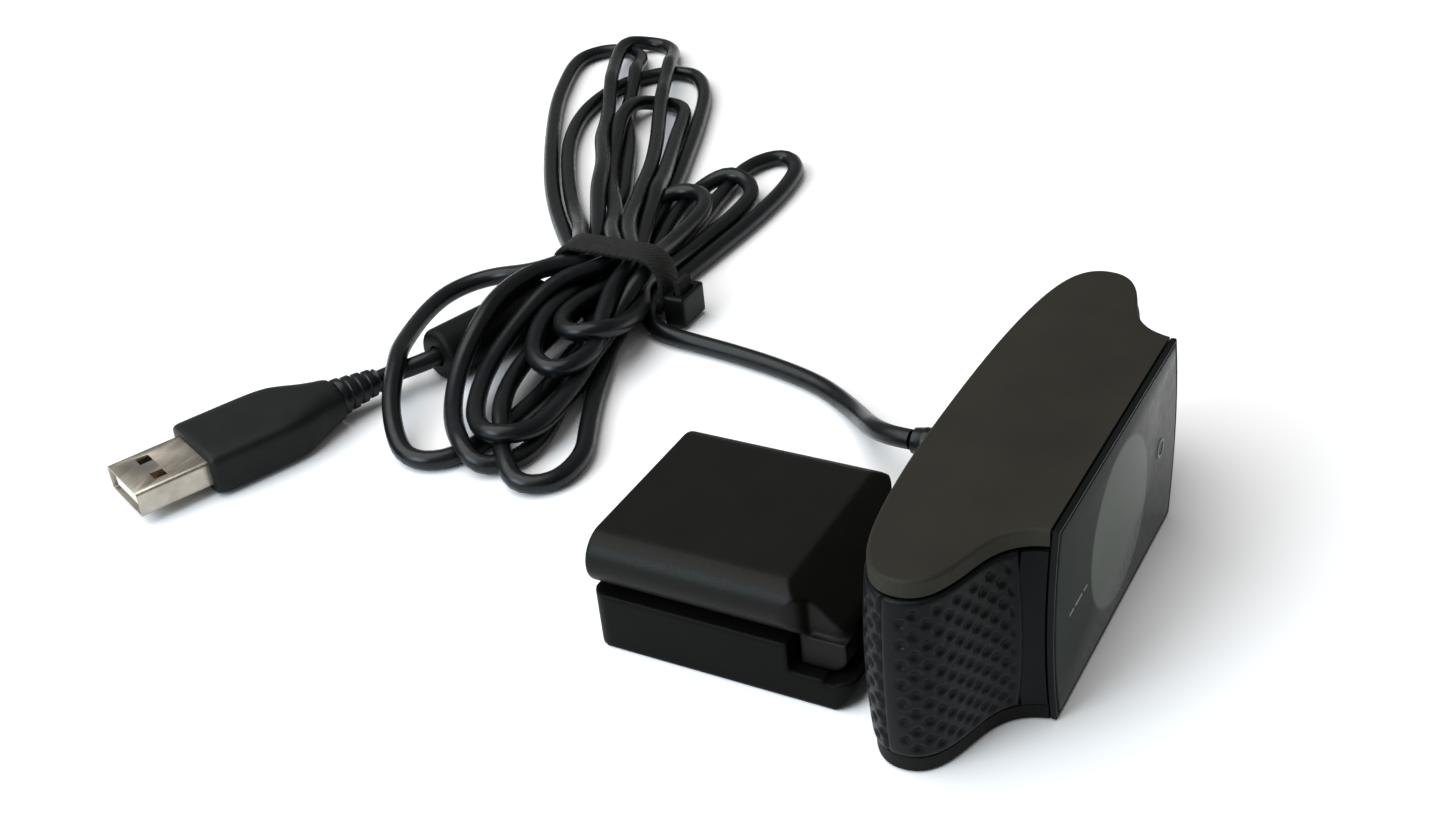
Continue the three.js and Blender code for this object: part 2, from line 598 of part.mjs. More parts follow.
// ---------- ferrite bead and plug ----------
function addBead() {
  const bead = heading(BEAD.angle);
  const middle = [BEAD.x + bead.x * BEAD.length / 2, BEAD.y + bead.y * BEAD.length / 2];
  const edge = BEAD.radius - 0.8;
  const half = BEAD.length / 2;
  const bore = CORD_RADIUS + GAP;
  const profile = [[bore, -half], [edge, -half], [BEAD.radius, 0.8 - half],
    [BEAD.radius, half - 0.8], [edge, half], [bore, half], [bore, -half]];
  const shell = new THREE.LatheGeometry(profile.map((p) => new THREE.Vector2(...p)), 28);
  shell.rotateZ(-Math.PI / 2).rotateZ(radians(BEAD.angle));
  add('ferrite_bead', shell.translate(...middle, BEAD.radius + 0.05), blackPlastic, webcam);
}

// Everything on the plug is drawn with its metal end towards local +X.
function addPlug() {
  const plug = new THREE.Group();
  plug.position.set(PLUG.x, PLUG.y, PLUG.z);
  plug.rotation.z = radians(PLUG.angle);
  webcam.add(plug);
  const side = new THREE.Shape();
  side.moveTo(0, -MOULD.half);
  side.lineTo(0, MOULD.half);
  side.lineTo(-MOULD.shoulder, MOULD.half);
  side.quadraticCurveTo(-22, 7.6, -MOULD.length, MOULD.tail);
  side.lineTo(-MOULD.length, -MOULD.tail);
  side.quadraticCurveTo(-22, -7.6, -MOULD.shoulder, -MOULD.half);
  const height = roundedRect(-MOULD.half, MOULD.half, -MOULD.halfHeight, MOULD.halfHeight, 1.6);
  const section = acrossFrom(height, -30, 1, 4);
  const block = overlap(upFrom(side, -5, 5), section);
  const pocket = box(-6.3, 1, -6.3, 6.3, -2.6, 2.6);
  add('plug_overmould', cut(block, pocket), cordRubber, plug);
  const shellOutside = acrossFrom(roundedRect(-6, 6, -2.25, 2.25, 0.6), -6, 12.3, 3);
  const shellInside = acrossFrom(roundedRect(-5.7, 5.7, -1.95, 1.95, 0.3), -7, 13, 3);
  const windows = [-2.9, 2.9].map((y) => box(6, 8.2, y - 1.1, y + 1.1, 1, 3));
  add('plug_shell', cut(shellOutside, shellInside, ...windows), plugSteel, plug);
  add('plug_tongue', box(-5.6, 11.6, -5.3, 5.3, -1.6, 0.2), ivoryPlastic, plug);
  for (let i = 0; i < 4; i += 1) {
    const y = (i - 1.5) * 2.5;
    add(`plug_contact_${i + 1}`, box(3.4, 11, y - 0.5, y + 0.5, 0.5, 0.8), gold, plug);
  }
  const relief = [[0, 0]];
  for (let i = 0; i < 3; i += 1) {
    const start = i * 2.6;
    const radius = 3.1 - i * 0.3;
    relief.push([radius, start], [radius, start + 1.7], [radius - 0.5, start + 1.9]);
    relief.push([radius - 0.5, start + 2.4]);
  }
  relief.push([2.1, RELIEF_LENGTH], [0, RELIEF_LENGTH]);
  const points = relief.map((p) => new THREE.Vector2(...p));
  const sleeve = new THREE.LatheGeometry(points, 20).rotateZ(Math.PI / 2);
  add('plug_relief', sleeve.translate(-MOULD.length - GAP, 0, 0), cordRubber, plug);
}

// Out of the loops, through the ferrite bead and into the plug's strain relief.
function addTail() {
  const bead = heading(BEAD.angle);
  const plug = heading(PLUG.angle);
  const reach = MOULD.length + RELIEF_LENGTH + 2 * GAP;
  const z = BEAD.radius + 0.05;
  const alongBead = (t) => [BEAD.x + bead.x * t, BEAD.y + bead.y * t, z];
  const behindPlug = (t) => [PLUG.x - plug.x * t, PLUG.y - plug.y * t, PLUG.z];
  const points = [behindPlug(reach), behindPlug(reach + 3), alongBead(-2), alongBead(4),
    alongBead(12), alongBead(20), alongBead(BEAD.length + 3)];
  add('cord_tail', tube(points, CORD_RADIUS, 10), cordRubber, webcam);
}

addWholeHead();
addClipBase();
addClipLeg();
addGland();
addLead();
addHank();
addTie();
addBead();
addPlug();
addTail();

export default webcam;
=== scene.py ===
import math

import bmesh
import bpy
import numpy as np
from mathutils import Matrix, Vector


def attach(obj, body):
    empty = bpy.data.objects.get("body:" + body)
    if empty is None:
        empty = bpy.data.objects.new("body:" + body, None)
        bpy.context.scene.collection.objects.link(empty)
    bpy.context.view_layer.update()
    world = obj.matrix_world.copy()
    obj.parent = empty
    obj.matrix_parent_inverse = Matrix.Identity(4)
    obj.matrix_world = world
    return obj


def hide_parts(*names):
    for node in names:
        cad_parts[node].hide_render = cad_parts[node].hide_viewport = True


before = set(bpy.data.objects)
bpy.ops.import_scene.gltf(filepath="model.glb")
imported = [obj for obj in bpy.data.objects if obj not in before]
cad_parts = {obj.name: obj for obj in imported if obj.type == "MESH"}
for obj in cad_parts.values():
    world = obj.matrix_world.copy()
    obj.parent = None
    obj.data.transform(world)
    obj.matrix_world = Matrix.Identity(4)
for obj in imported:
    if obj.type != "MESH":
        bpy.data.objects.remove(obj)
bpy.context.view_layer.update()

# Looks for a monitor webcam that lies on a table with its clip folded and its cable tied.
# Shapes are drawn in millimetres and turned into metres when a mesh is made.
MM = 0.001

# ---------- driving sizes, in millimetres, as the frame has them ----------
FRONT_Y = -33.5                 # the lens face; head pieces measure Y from here
HEAD_HEIGHT = 30.0
MIDDLE = HEAD_HEIGHT / 2
CAP_HEIGHT = 2.6
GAP = 0.3                       # between neighbouring pieces
BAND_PROUD = 0.4                # how far the wrap stands out past the caps
BAND_START = 4.4                # where the wrap begins, behind the lens face
HOUSING_FRONT = 1.3             # where the caps begin
FACE_HALF = 24.4                # half the lens face's width, at its top and bottom
EYE_RADIUS = 11.9               # the pale disc behind the pane
CORD = 3.3                      # the cable's diameter
TIE = {"left": 49.0, "right": 55.0, "near": 66.5, "far": 90.0, "height": 13.0, "wall": 1.0}
BEAD = {"radius": 4.75, "length": 25.0, "x": 18.5, "y": 95.0, "angle": -18.0}
BEAD_LIFT = 0.05                # gap between the bead and the table
PLUG = {"x": -22.5, "y": 114.5, "z": 4.0, "angle": 157.0}
MOULD_LENGTH = 26.0
RELIEF_LENGTH = 8.0
RELIEF_RADIUS = 3.1             # round the plug's strain relief, for cable that passes over it
GLAND_X, GLAND_Z = 17.0, 9.0
DIMPLE_PITCH = 3.0
DIMPLE_RADIUS = 0.82
DIMPLE_DEPTH = 0.42
DIMPLE_START = 2.6              # from the seam to the first dimples' middles, along the wrap
SEAM_PLACE = (-40.2, 16.4)      # on the lobe nearest the clip
FACE_BULGE = 1.8                # how far the lens face's sides bow out

# ---------- how the cable settles ----------
STEP = 1.5                      # spacing of points along the cable
SETTLE_ROUNDS = 260
PAIR_ROUNDS = 10                # rounds between two searches for strands that are close
HOLD = 0.04                     # share of each shift that is given up in a round
HOLD_IN_TIE = 0.15
SIDE_HOLD = 0.005               # the same, sideways only
SAG = 0.06                      # how far a free strand sinks in a round
APART = 1.01                    # strands keep this many diameters between their middles
PUSH = 1.2                      # how hard; 1 just clears a pair of strands
PINNED_START = 8                # points that stay in the head's strain relief
PINNED_TAIL = 44.0              # length that stays in the bead and at the plug
TIE_INSIDE = 2.7                # from the strap's outside to the middle of a strand inside it
LAST_SMOOTHING = 3              # smoothing passes once it lies still


# ---------- camera, floor and lights ----------
def add_camera():
    """The camera stands where the photograph was taken from, held a little askew."""
    position = Vector((-190.8, -90.4, 158.6)) * MM
    target = Vector((27.8, 43.4, 0.0)) * MM
    roll = math.radians(-6.06)
    forward = (target - position).normalized()
    level = forward.cross(Vector((0, 0, 1))).normalized()
    upright = level.cross(forward)
    right = level * math.cos(roll) + upright * math.sin(roll)
    up = upright * math.cos(roll) - level * math.sin(roll)
    data = bpy.data.cameras.new("camera")
    data.sensor_width = 36.0
    data.lens = 44.74
    data.clip_start = 0.01
    camera = bpy.data.objects.new("camera", data)
    bpy.context.scene.collection.objects.link(camera)
    turn = Matrix((right, up, -forward)).transposed()
    camera.matrix_world = Matrix.Translation(position) @ turn.to_4x4()
    bpy.context.scene.camera = camera


def add_area_light(name, position, target, size, power, colour):
    data = bpy.data.lights.new(name, "AREA")
    data.shape = "RECTANGLE"
    data.size = size[0]
    data.size_y = size[1]
    data.energy = power
    data.color = colour
    light = bpy.data.objects.new(name, data)
    light.location = position
    aim = Vector(target) - Vector(position)
    light.rotation_euler = aim.to_track_quat("-Z", "Y").to_euler()
    bpy.context.scene.collection.objects.link(light)


def add_studio():
    """A white room with a soft overhead light, a bluish window and a pale floor."""
    scene = bpy.context.scene
    scene.view_settings.view_transform = "Standard"
    world = bpy.data.worlds.new("studio")
    world.use_nodes = True
    backdrop = world.node_tree.nodes["Background"]
    backdrop.inputs["Color"].default_value = (1.0, 1.0, 1.0, 1.0)
    backdrop.inputs["Strength"].default_value = 0.26
    scene.world = world
    data = bpy.data.lights.new("overhead", "SUN")
    data.energy = 3.1
    data.angle = math.radians(70)
    overhead = bpy.data.objects.new("overhead", data)
    overhead.rotation_euler = (math.radians(-22), math.radians(-14), 0)
    scene.collection.objects.link(overhead)
    add_area_light("window", (-0.55, 0.3, 0.32), (0.0, 0.03, 0.0), (0.4, 0.3), 3.4,
                   (0.72, 0.88, 1.0))
    data = bpy.data.meshes.new("floor")
    reach = 6.0
    corners = [(-reach, -reach, 0), (reach, -reach, 0), (reach, reach, 0), (-reach, reach, 0)]
    data.from_pydata(corners, [], [(0, 1, 2, 3)])
    floor = bpy.data.objects.new("floor", data)
    floor.location.z = -0.0001
    scene.collection.objects.link(floor)
    paint = surface("floor_paint", (0.93, 0.93, 0.93), 0.8, grain=(0.2, 0.02), mottle=(0.01, 0.005),
                    ior=1.1)
    data.materials.append(paint)


# ---------- materials ----------
class Nodes:
    """Adds shader nodes to a material and wires them by socket name."""

    def __init__(self, name):
        self.material = bpy.data.materials.new(name)
        self.material.use_nodes = True
        self.tree = self.material.node_tree
        self.shader = self.tree.nodes["Principled BSDF"]
        self.where = self.add("ShaderNodeTexCoord").outputs["Object"]

    def add(self, kind, **settings):
        node = self.tree.nodes.new(kind)
        for key, value in settings.items():
            setattr(node, key, value)
        return node

    def wire(self, output, node, socket):
        self.tree.links.new(output, node.inputs[socket])

    def scaled(self, stretch):
        mapping = self.add("ShaderNodeMapping")
        mapping.inputs["Scale"].default_value = stretch
        self.wire(self.where, mapping, "Vector")
        return mapping.outputs["Vector"]

    def noise(self, per_mm, detail=3.0, stretch=(1, 1, 1)):
        node = self.add("ShaderNodeTexNoise")
        node.inputs["Scale"].default_value = per_mm / MM
        node.inputs["Detail"].default_value = detail
        self.wire(self.scaled(stretch), node, "Vector")
        return node.outputs["Fac"]

    def ramp(self, value, stops):
        node = self.add("ShaderNodeValToRGB")
        elements = node.color_ramp.elements
        while len(elements) < len(stops):
            elements.new(0.5)
        for element, (place, colour) in zip(elements, stops):
            element.position = place
            element.color = (*colour, 1.0)
        self.wire(value, node, "Fac")
        return node.outputs["Color"]

    def spread(self, value, low, high):
        node = self.add("ShaderNodeMapRange")
        node.inputs["From Min"].default_value = 0.3
        node.inputs["From Max"].default_value = 0.7
        node.inputs["To Min"].default_value = low
        node.inputs["To Max"].default_value = high
        self.wire(value, node, "Value")
        return node.outputs["Result"]

    def bump(self, height, strength, distance_mm, onto=None):
        node = self.add("ShaderNodeBump")
        node.inputs["Strength"].default_value = strength
        node.inputs["Distance"].default_value = distance_mm * MM
        self.wire(height, node, "Height")
        if onto is not None:
            self.wire(onto, node, "Normal")
        return node.outputs["Normal"]


def shade(colour, factor):
    """The colour made paler or darker."""
    return tuple(min(1.0, c * factor) for c in colour)


def surface(name, colour, roughness, grain, mottle=(0.12, 0.2), ior=1.5):
    """A moulded surface: fine grain in the bump, soft mottling in the colour.

    Grain and mottle each say how many features there are to a millimetre, and how strong they are.
    """
    n = Nodes(name)
    patches = n.noise(mottle[0], 4.0)
    darker = shade(colour, 1 - mottle[1])
    paler = shade(colour, 1 + mottle[1])
    n.wire(n.ramp(patches, [(0.3, darker), (0.7, paler)]), n.shader, "Base Color")
    fine = n.noise(grain[0], 2.0)
    n.wire(n.spread(fine, roughness * 0.88, min(1.0, roughness * 1.12)), n.shader, "Roughness")
    n.wire(n.bump(fine, grain[1], 0.05), n.shader, "Normal")
    n.shader.inputs["IOR"].default_value = ior
    return n.material


def leather():
    """Black embossed wrap: tiny pebbles between the dimples, which are real geometry."""
    n = Nodes("wrap_leather")
    colour = (0.0026, 0.0033, 0.0034)
    tint = n.ramp(n.noise(0.5, 4.0), [(0.3, shade(colour, 0.7)), (0.7, shade(colour, 1.35))])
    n.wire(tint, n.shader, "Base Color")
    cells = n.add("ShaderNodeTexVoronoi", feature="SMOOTH_F1")
    cells.inputs["Scale"].default_value = 3.2 / MM
    n.wire(n.where, cells, "Vector")
    pebbles = n.bump(cells.outputs["Distance"], 0.35, 0.05)
    creases = n.bump(n.noise(1.4, 5.0), 0.2, 0.05, onto=pebbles)
    n.wire(creases, n.shader, "Normal")
    n.wire(n.spread(n.noise(1.0, 3.0), 0.32, 0.46), n.shader, "Roughness")
    n.shader.inputs["IOR"].default_value = 1.2
    return n.material


def distance_from_lens(n):
    """How far a point of the lens face is from the lens's axis."""
    split = n.add("ShaderNodeSeparateXYZ")
    n.wire(n.where, split, "Vector")
    flat = n.add("ShaderNodeCombineXYZ")
    n.wire(split.outputs["X"], flat, "X")
    lift = n.add("ShaderNodeMath", operation="SUBTRACT")
    n.wire(split.outputs["Z"], lift, 0)
    lift.inputs[1].default_value = MIDDLE * MM
    n.wire(lift.outputs["Value"], flat, "Y")
    length = n.add("ShaderNodeVectorMath", operation="LENGTH")
    n.wire(flat.outputs["Vector"], length, 0)
    return length.outputs["Value"]


def smoked_pane():
    """Dark glossy pane with an even, paler disc printed behind it."""
    n = Nodes("smoked_pane")
    soft_edge = 0.35
    disc = (0.105, 0.118, 0.105)
    pane = (0.019, 0.025, 0.021)
    edge = n.add("ShaderNodeMapRange")
    edge.inputs["From Min"].default_value = (EYE_RADIUS - soft_edge) * MM
    edge.inputs["From Max"].default_value = (EYE_RADIUS + soft_edge) * MM
    n.wire(distance_from_lens(n), edge, "Value")
    haze = n.spread(n.noise(0.08, 3.0), 0.96, 1.04)
    tint = n.ramp(edge.outputs["Result"], [(0.0, disc), (1.0, pane)])
    scale = n.add("ShaderNodeVectorMath", operation="SCALE")
    n.wire(tint, scale, 0)
    n.wire(haze, scale, "Scale")
    n.wire(scale.outputs["Vector"], n.shader, "Base Color")
    n.wire(n.spread(n.noise(0.6, 3.0), 0.16, 0.24), n.shader, "Roughness")
    n.wire(n.bump(n.noise(0.9, 2.0), 0.01, 0.01), n.shader, "Normal")
    n.shader.inputs["IOR"].default_value = 1.1
    return n.material


def webbing():
    """Woven strap: fine ribs across it, crossed by slanting ones."""
    n = Nodes("strap_webbing")
    colour = (0.0085, 0.0085, 0.007)
    tint = n.ramp(n.noise(0.8, 4.0), [(0.3, shade(colour, 0.65)), (0.7, shade(colour, 1.5))])
    n.wire(tint, n.shader, "Base Color")
    weave = None
    for direction in ("X", "DIAGONAL"):
        ribs = n.add("ShaderNodeTexWave", bands_direction=direction)
        ribs.inputs["Scale"].default_value = 0.5 / MM
        ribs.inputs["Distortion"].default_value = 1.0
        n.wire(n.where, ribs, "Vector")
        weave = n.bump(ribs.outputs["Fac"], 0.5, 0.1, onto=weave)
    n.wire(weave, n.shader, "Normal")
    n.shader.inputs["Roughness"].default_value = 0.7
    n.shader.inputs["IOR"].default_value = 1.25
    n.shader.inputs["Sheen Weight"].default_value = 0.03
    return n.material


def cable_jacket():
    """Smooth extruded jacket: soft sheen, handling marks and a faint waviness."""
    n = Nodes("cable_jacket")
    colour = (0.0026, 0.0036, 0.004)
    tint = n.ramp(n.noise(0.15, 4.0), [(0.3, shade(colour, 0.75)), (0.7, shade(colour, 1.3))])
    n.wire(tint, n.shader, "Base Color")
    n.wire(n.spread(n.noise(0.5, 4.0), 0.26, 0.38), n.shader, "Roughness")
    skin = n.bump(n.noise(2.5, 2.0), 0.12, 0.03)
    n.wire(n.bump(n.noise(0.25, 2.0), 0.15, 0.15, onto=skin), n.shader, "Normal")
    n.shader.inputs["IOR"].default_value = 1.35
    return n.material


def plated(name, colour, roughness):
    """Stamped plate: brushed along one way, with faint wear."""
    n = Nodes(name)
    brushed = n.noise(3.0, 3.0, stretch=(0.05, 1, 1))
    tint = n.ramp(n.noise(0.3, 5.0), [(0.3, shade(colour, 0.8)), (0.7, shade(colour, 1.1))])
    n.wire(tint, n.shader, "Base Color")
    n.wire(n.spread(brushed, roughness * 0.8, roughness * 1.25), n.shader, "Roughness")
    n.wire(n.bump(brushed, 0.15, 0.02), n.shader, "Normal")
    n.shader.inputs["Metallic"].default_value = 1.0
    return n.material


def circuit_board():
    """Green solder mask with a hint of copper tracks under it."""
    n = Nodes("circuit_board_mask")
    tracks = n.add("ShaderNodeTexBrick")
    tracks.inputs["Scale"].default_value = 0.35 / MM
    tracks.inputs["Color1"].default_value = (0.010, 0.085, 0.03, 1)
    tracks.inputs["Color2"].default_value = (0.014, 0.11, 0.04, 1)
    tracks.inputs["Mortar"].default_value = (0.03, 0.16, 0.07, 1)
    n.wire(n.where, tracks, "Vector")
    n.wire(tracks.outputs["Color"], n.shader, "Base Color")
    n.wire(n.bump(tracks.outputs["Fac"], 0.3, 0.03), n.shader, "Normal")
    n.wire(n.spread(n.noise(0.6), 0.3, 0.45), n.shader, "Roughness")
    return n.material


def lens_glass():
    """Coated optical glass."""
    n = Nodes("coated_glass")
    tint = n.ramp(n.noise(0.1), [(0.3, (0.55, 0.6, 0.75)), (0.7, (0.7, 0.62, 0.8))])
    n.wire(tint, n.shader, "Base Color")
    n.wire(n.spread(n.noise(0.5), 0.01, 0.05), n.shader, "Roughness")
    n.shader.inputs["Transmission Weight"].default_value = 1.0
    n.shader.inputs["IOR"].default_value = 1.6
    return n.material


# ---------- mesh building ----------
def finish_mesh(mesh, sharp_degrees):
    """Joins the skin where it meets itself and shades it smooth between sharp edges."""
    work = bmesh.new()
    work.from_mesh(mesh)
    bmesh.ops.remove_doubles(work, verts=work.verts, dist=1e-7)
    bmesh.ops.recalc_face_normals(work, faces=work.faces)
    work.to_mesh(mesh)
    work.free()
    mesh.shade_smooth()
    mesh.set_sharp_from_angle(angle=math.radians(sharp_degrees))


def add_piece(name, points, faces, material, replaced=(), sharp=35.0):
    """A new piece on the head, from points in millimetres."""
    mesh = bpy.data.meshes.new(name)
    mesh.from_pydata([tuple(p) for p in np.asarray(points, float) * MM], [], faces)
    finish_mesh(mesh, sharp)
    mesh.materials.append(material)
    piece = bpy.data.objects.new(name, mesh)
    bpy.context.scene.collection.objects.link(piece)
    join_frame(piece, "head", replaced)
    return piece


def join_frame(piece, body, replaced):
    """Makes a piece ride its body and stand for the CAD nodes that it replaces."""
    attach(piece, body)
    if replaced:
        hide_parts(*replaced)


def loft(rings, around=True, ends=True):
    """Joins rings of equal length into one skin, with a flat face on each end."""
    count = len(rings[0])
    points = np.concatenate([np.asarray(ring, float) for ring in rings])
    faces = []
    span = count if around else count - 1
    for r in range(len(rings) - 1):
        for i in range(span):
            j = (i + 1) % count
            faces.append((r * count + i, r * count + j, (r + 1) * count + j, (r + 1) * count + i))
    if ends:
        last = (len(rings) - 1) * count
        faces.append(tuple(reversed(range(count))))
        faces.append(tuple(range(last, last + count)))
    return points, faces


def turned(profile):
    """Rings of a turned piece along local X: profile points are (along, radius)."""
    segments = 64
    angles = np.linspace(0, 2 * np.pi, segments, endpoint=False)
    return [np.column_stack([np.full(segments, along), radius * np.cos(angles),
                             radius * np.sin(angles)]) for along, radius in profile]


def to_world(points, origin, degrees):
    """Turns local points about Z and moves them to their place."""
    a = math.radians(degrees)
    x, y, z = np.asarray(points, float).T
    return np.column_stack([origin[0] + x * math.cos(a) - y * math.sin(a),
                            origin[1] + x * math.sin(a) + y * math.cos(a), origin[2] + z])


def softened(node, body, material, voxel_mm, rounds):
    """A node's own shape with its edges moulded round: remeshed finely, then relaxed."""
    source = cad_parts[node]
    piece = bpy.data.objects.new(node + "_moulded", source.data.copy())
    bpy.context.scene.collection.objects.link(piece)
    remesh = piece.modifiers.new("fine", "REMESH")
    remesh.mode = "VOXEL"
    remesh.voxel_size = voxel_mm * MM
    smooth = piece.modifiers.new("relax", "SMOOTH")
    smooth.factor = 0.5
    smooth.iterations = rounds
    apply_modifiers(piece)
    piece.data.materials.clear()
    piece.data.materials.append(material)
    piece.data.shade_smooth()
    join_frame(piece, body, [node])
    return piece


def bevelled(node, body, material, width_mm):
    """A node's own shape with its hard edges broken."""
    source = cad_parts[node]
    piece = bpy.data.objects.new(node + "_bevelled", source.data.copy())
    bpy.context.scene.collection.objects.link(piece)
    work = bmesh.new()
    work.from_mesh(piece.data)
    bmesh.ops.remove_doubles(work, verts=work.verts, dist=1e-7)
    bmesh.ops.dissolve_limit(work, angle_limit=math.radians(1), verts=work.verts, edges=work.edges)
    work.to_mesh(piece.data)
    work.free()
    bevel = piece.modifiers.new("bevel", "BEVEL")
    bevel.width = width_mm * MM
    bevel.segments = 2
    bevel.limit_method = "ANGLE"
    bevel.angle_limit = math.radians(40)
    apply_modifiers(piece)
    piece.data.materials.clear()
    piece.data.materials.append(material)
    piece.data.shade_smooth()
    piece.data.set_sharp_from_angle(angle=math.radians(40))
    join_frame(piece, body, [node])
    return piece


def apply_modifiers(piece):
    """Turns a piece's modifiers into its mesh."""
    depsgraph = bpy.context.evaluated_depsgraph_get()
    solid = bpy.data.meshes.new_from_object(piece.evaluated_get(depsgraph))
    piece.modifiers.clear()
    piece.data = solid


# ---------- the cable's route ----------
# Each loop starts and ends at the tie and is given as X, Y and how high the strand lies.
# The settling below then presses them down on the table and on one another.
LEAD = [(17, 4, 9), (17.7, 8, 8.5), (21, 12.4, 7), (26.6, 16.6, 4.9), (32.4, 22, 2.8),
        (36.8, 28.5, 1.9), (39.4, 36.5, 1.7), (41.4, 46.5, 1.7), (42.4, 55, 1.7),
        (43, 61.5, 1.7), (44.4, 66.4, 2), (47.6, 69.7, 2.6)]
SIDE_LONG = [(60, 71.5, 2.5), (74, 70.5, 2), (90, 69.5, 2), (106, 70, 2), (115, 72, 2),
             (119.5, 77, 2), (113, 82, 2), (100, 81.5, 2), (84, 79, 2), (68, 76.5, 2.5)]
SIDE_MIDDLE = [(62, 80, 3.5), (74, 82.5, 4), (87, 86, 3), (98, 86.5, 3), (104.5, 81, 4),
               (100, 74.5, 4), (90, 73, 5), (76, 73.5, 5), (62, 73.5, 5.5)]
SIDE_SHORT = [(60, 74, 9), (74, 76, 8), (85, 77.5, 7), (92, 81.5, 5.5), (93, 87.5, 4),
              (88, 91.5, 3), (80.5, 91.5, 4), (71, 87.5, 6.5), (61, 83.5, 8.5)]
UPPER_OUTER = [(59, 87, 3.5), (70, 92.5, 4), (94, 103.5, 4), (126, 120.5, 4), (148, 131, 4),
               (160, 136.4, 3.5), (164.6, 141.5, 2.5), (163.5, 147.8, 2), (158, 151.8, 2),
               (151.5, 151, 2), (141, 147, 2), (130, 142, 2),
               (105, 127.5, 2), (85, 114, 3), (67, 98.5, 5)]
UPPER_WIDE = [(58, 80.5, 6), (68, 84, 4.5), (88, 90, 3), (109, 96.5, 2), (132, 105, 2),
              (147, 112, 2), (155, 119.5, 2), (153, 127.5, 3), (143, 132.5, 4), (129, 133, 4),
              (114, 128, 3), (97, 118, 2.5), (82, 107, 4), (67, 94.5, 7.5)]
UPPER_LONG = [(59, 80, 10.5), (68, 86.5, 9.5), (88, 93.5, 8), (109, 103, 7), (132, 115, 6),
              (150, 123.5, 5), (160, 128, 4), (167, 131.6, 3), (170, 135.8, 2), (169, 140.6, 2),
              (165, 143.4, 2.5), (159, 142.3, 4), (143, 134.5, 6), (118, 120.5, 6),
              (90, 103.5, 7), (68, 92.5, 8)]
UPPER_INNER = [(59, 79.5, 6.3), (68, 83, 6), (84, 89, 6), (100, 95, 6), (118, 103, 6),
               (128, 107, 5.5), (134.6, 110.2, 5), (137.3, 114.3, 5), (136.4, 119, 5),
               (132.3, 121.8, 5.5), (127, 120.9, 6), (117.5, 117.5, 6), (102, 110, 6),
               (84, 99, 7), (68, 87.5, 8.5)]
LOWER_WIDE = [(47.5, 88.5, 10.5), (45.3, 93, 9.8), (45.8, 98.5, 8.3), (43.5, 103, 8),
              (37.5, 106, 8), (29, 105.2, 8.3), (19, 101.8, 9), (9, 97.3, 9), (-1, 90.5, 6),
              (-7, 83, 2), (-5, 76.5, 2), (2, 74, 2), (12, 73, 2), (24, 73.5, 2),
              (36, 75, 2), (45, 77, 2.3)]
LOWER_LEFT = [(47, 85, 10.5), (41, 88.5, 11.3), (34, 90, 11.4), (25, 90, 10), (15, 87.5, 7.5),
              (6, 83, 5), (-1, 77, 4), (-5, 71.5, 3), (-3, 66.5, 2), (5, 65, 2),
              (16, 67.5, 2.5), (30, 72, 3), (44, 78, 3)]
LOWER_MIDDLE = [(46, 80.5, 10), (39, 83, 10), (30, 84.5, 9.5), (20, 84, 7.5), (10, 80.5, 6.5),
                (2, 75, 6), (-1, 69, 5), (4, 65, 5), (14, 66.5, 5), (26, 69, 5.5),
                (36, 70.5, 6.5), (45, 71.5, 8)]
LOWER_LONG = [(45, 72.5, 2.5), (34, 70.5, 2), (23, 65.5, 2), (12, 60, 2), (4, 56, 2),
              (-4, 56.5, 2), (-7, 62, 2.5), (-2, 68, 4), (6, 73.5, 6), (16, 78, 7),
              (27, 80, 8), (37, 80, 9), (46, 79.5, 8)]
LOWER_INNER = [(46, 82.5, 8.5), (37, 82, 10.3), (28, 79.8, 10), (20, 75.5, 9), (18, 69, 8),
               (26, 67.5, 7), (36, 70.5, 8), (45, 73, 9.3)]
LOWER_SHORT = [(46, 70, 6.5), (38, 67.6, 7.5), (31, 67.6, 8.3), (27.2, 71.8, 9), (30, 76.8, 9.5),
               (38, 78.8, 9.5), (46, 77.8, 7.5)]
# Where strands cross the tie: rows from the table up, each from the far side to the near.
TIE_ROWS = [(2.8, [86, 82.2, 78.4, 74.6, 70.8]), (6.2, [87.2, 83.6, 80.1, 76.5, 72.9, 69.4]),
            (9.6, [86, 82.2, 78.4, 74.6, 70.8])]
# The loops in the order the cable makes them, each with the place it starts from in the tie.
PASSES = [
    (SIDE_LONG, (0, 4)), (LOWER_LONG, (0, 3)), (UPPER_WIDE, (1, 2)), (LOWER_WIDE, (2, 0)),
    (SIDE_MIDDLE, (0, 2)), (LOWER_SHORT, (1, 4)), (UPPER_INNER, (1, 3)), (LOWER_MIDDLE, (2, 2)),
    (SIDE_SHORT, (2, 4)), (LOWER_LEFT, (2, 1)), (UPPER_OUTER, (0, 1)), (LOWER_INNER, (1, 1)),
    (UPPER_LONG, (2, 3)),
]
LAST_PLACE = (1, 0)


def tie_point(row, column):
    """A strand's place in the middle of the tie."""
    height, places = TIE_ROWS[row]
    return ((TIE["left"] + TIE["right"]) / 2, places[column], height)


def cable_route():
    """From the strain relief, loop by loop through the tie, to the plug."""
    route = list(LEAD)
    for loop, place in PASSES:
        route.append(tie_point(*place))
        route.extend(loop)
    route.append(tie_point(*LAST_PLACE))
    route.extend(tail_points())
    return route


def bead_axis(t):
    """A point on the bead's axis, t from its left end."""
    a = math.radians(BEAD["angle"])
    return (BEAD["x"] + math.cos(a) * t, BEAD["y"] + math.sin(a) * t, BEAD["radius"] + BEAD_LIFT)


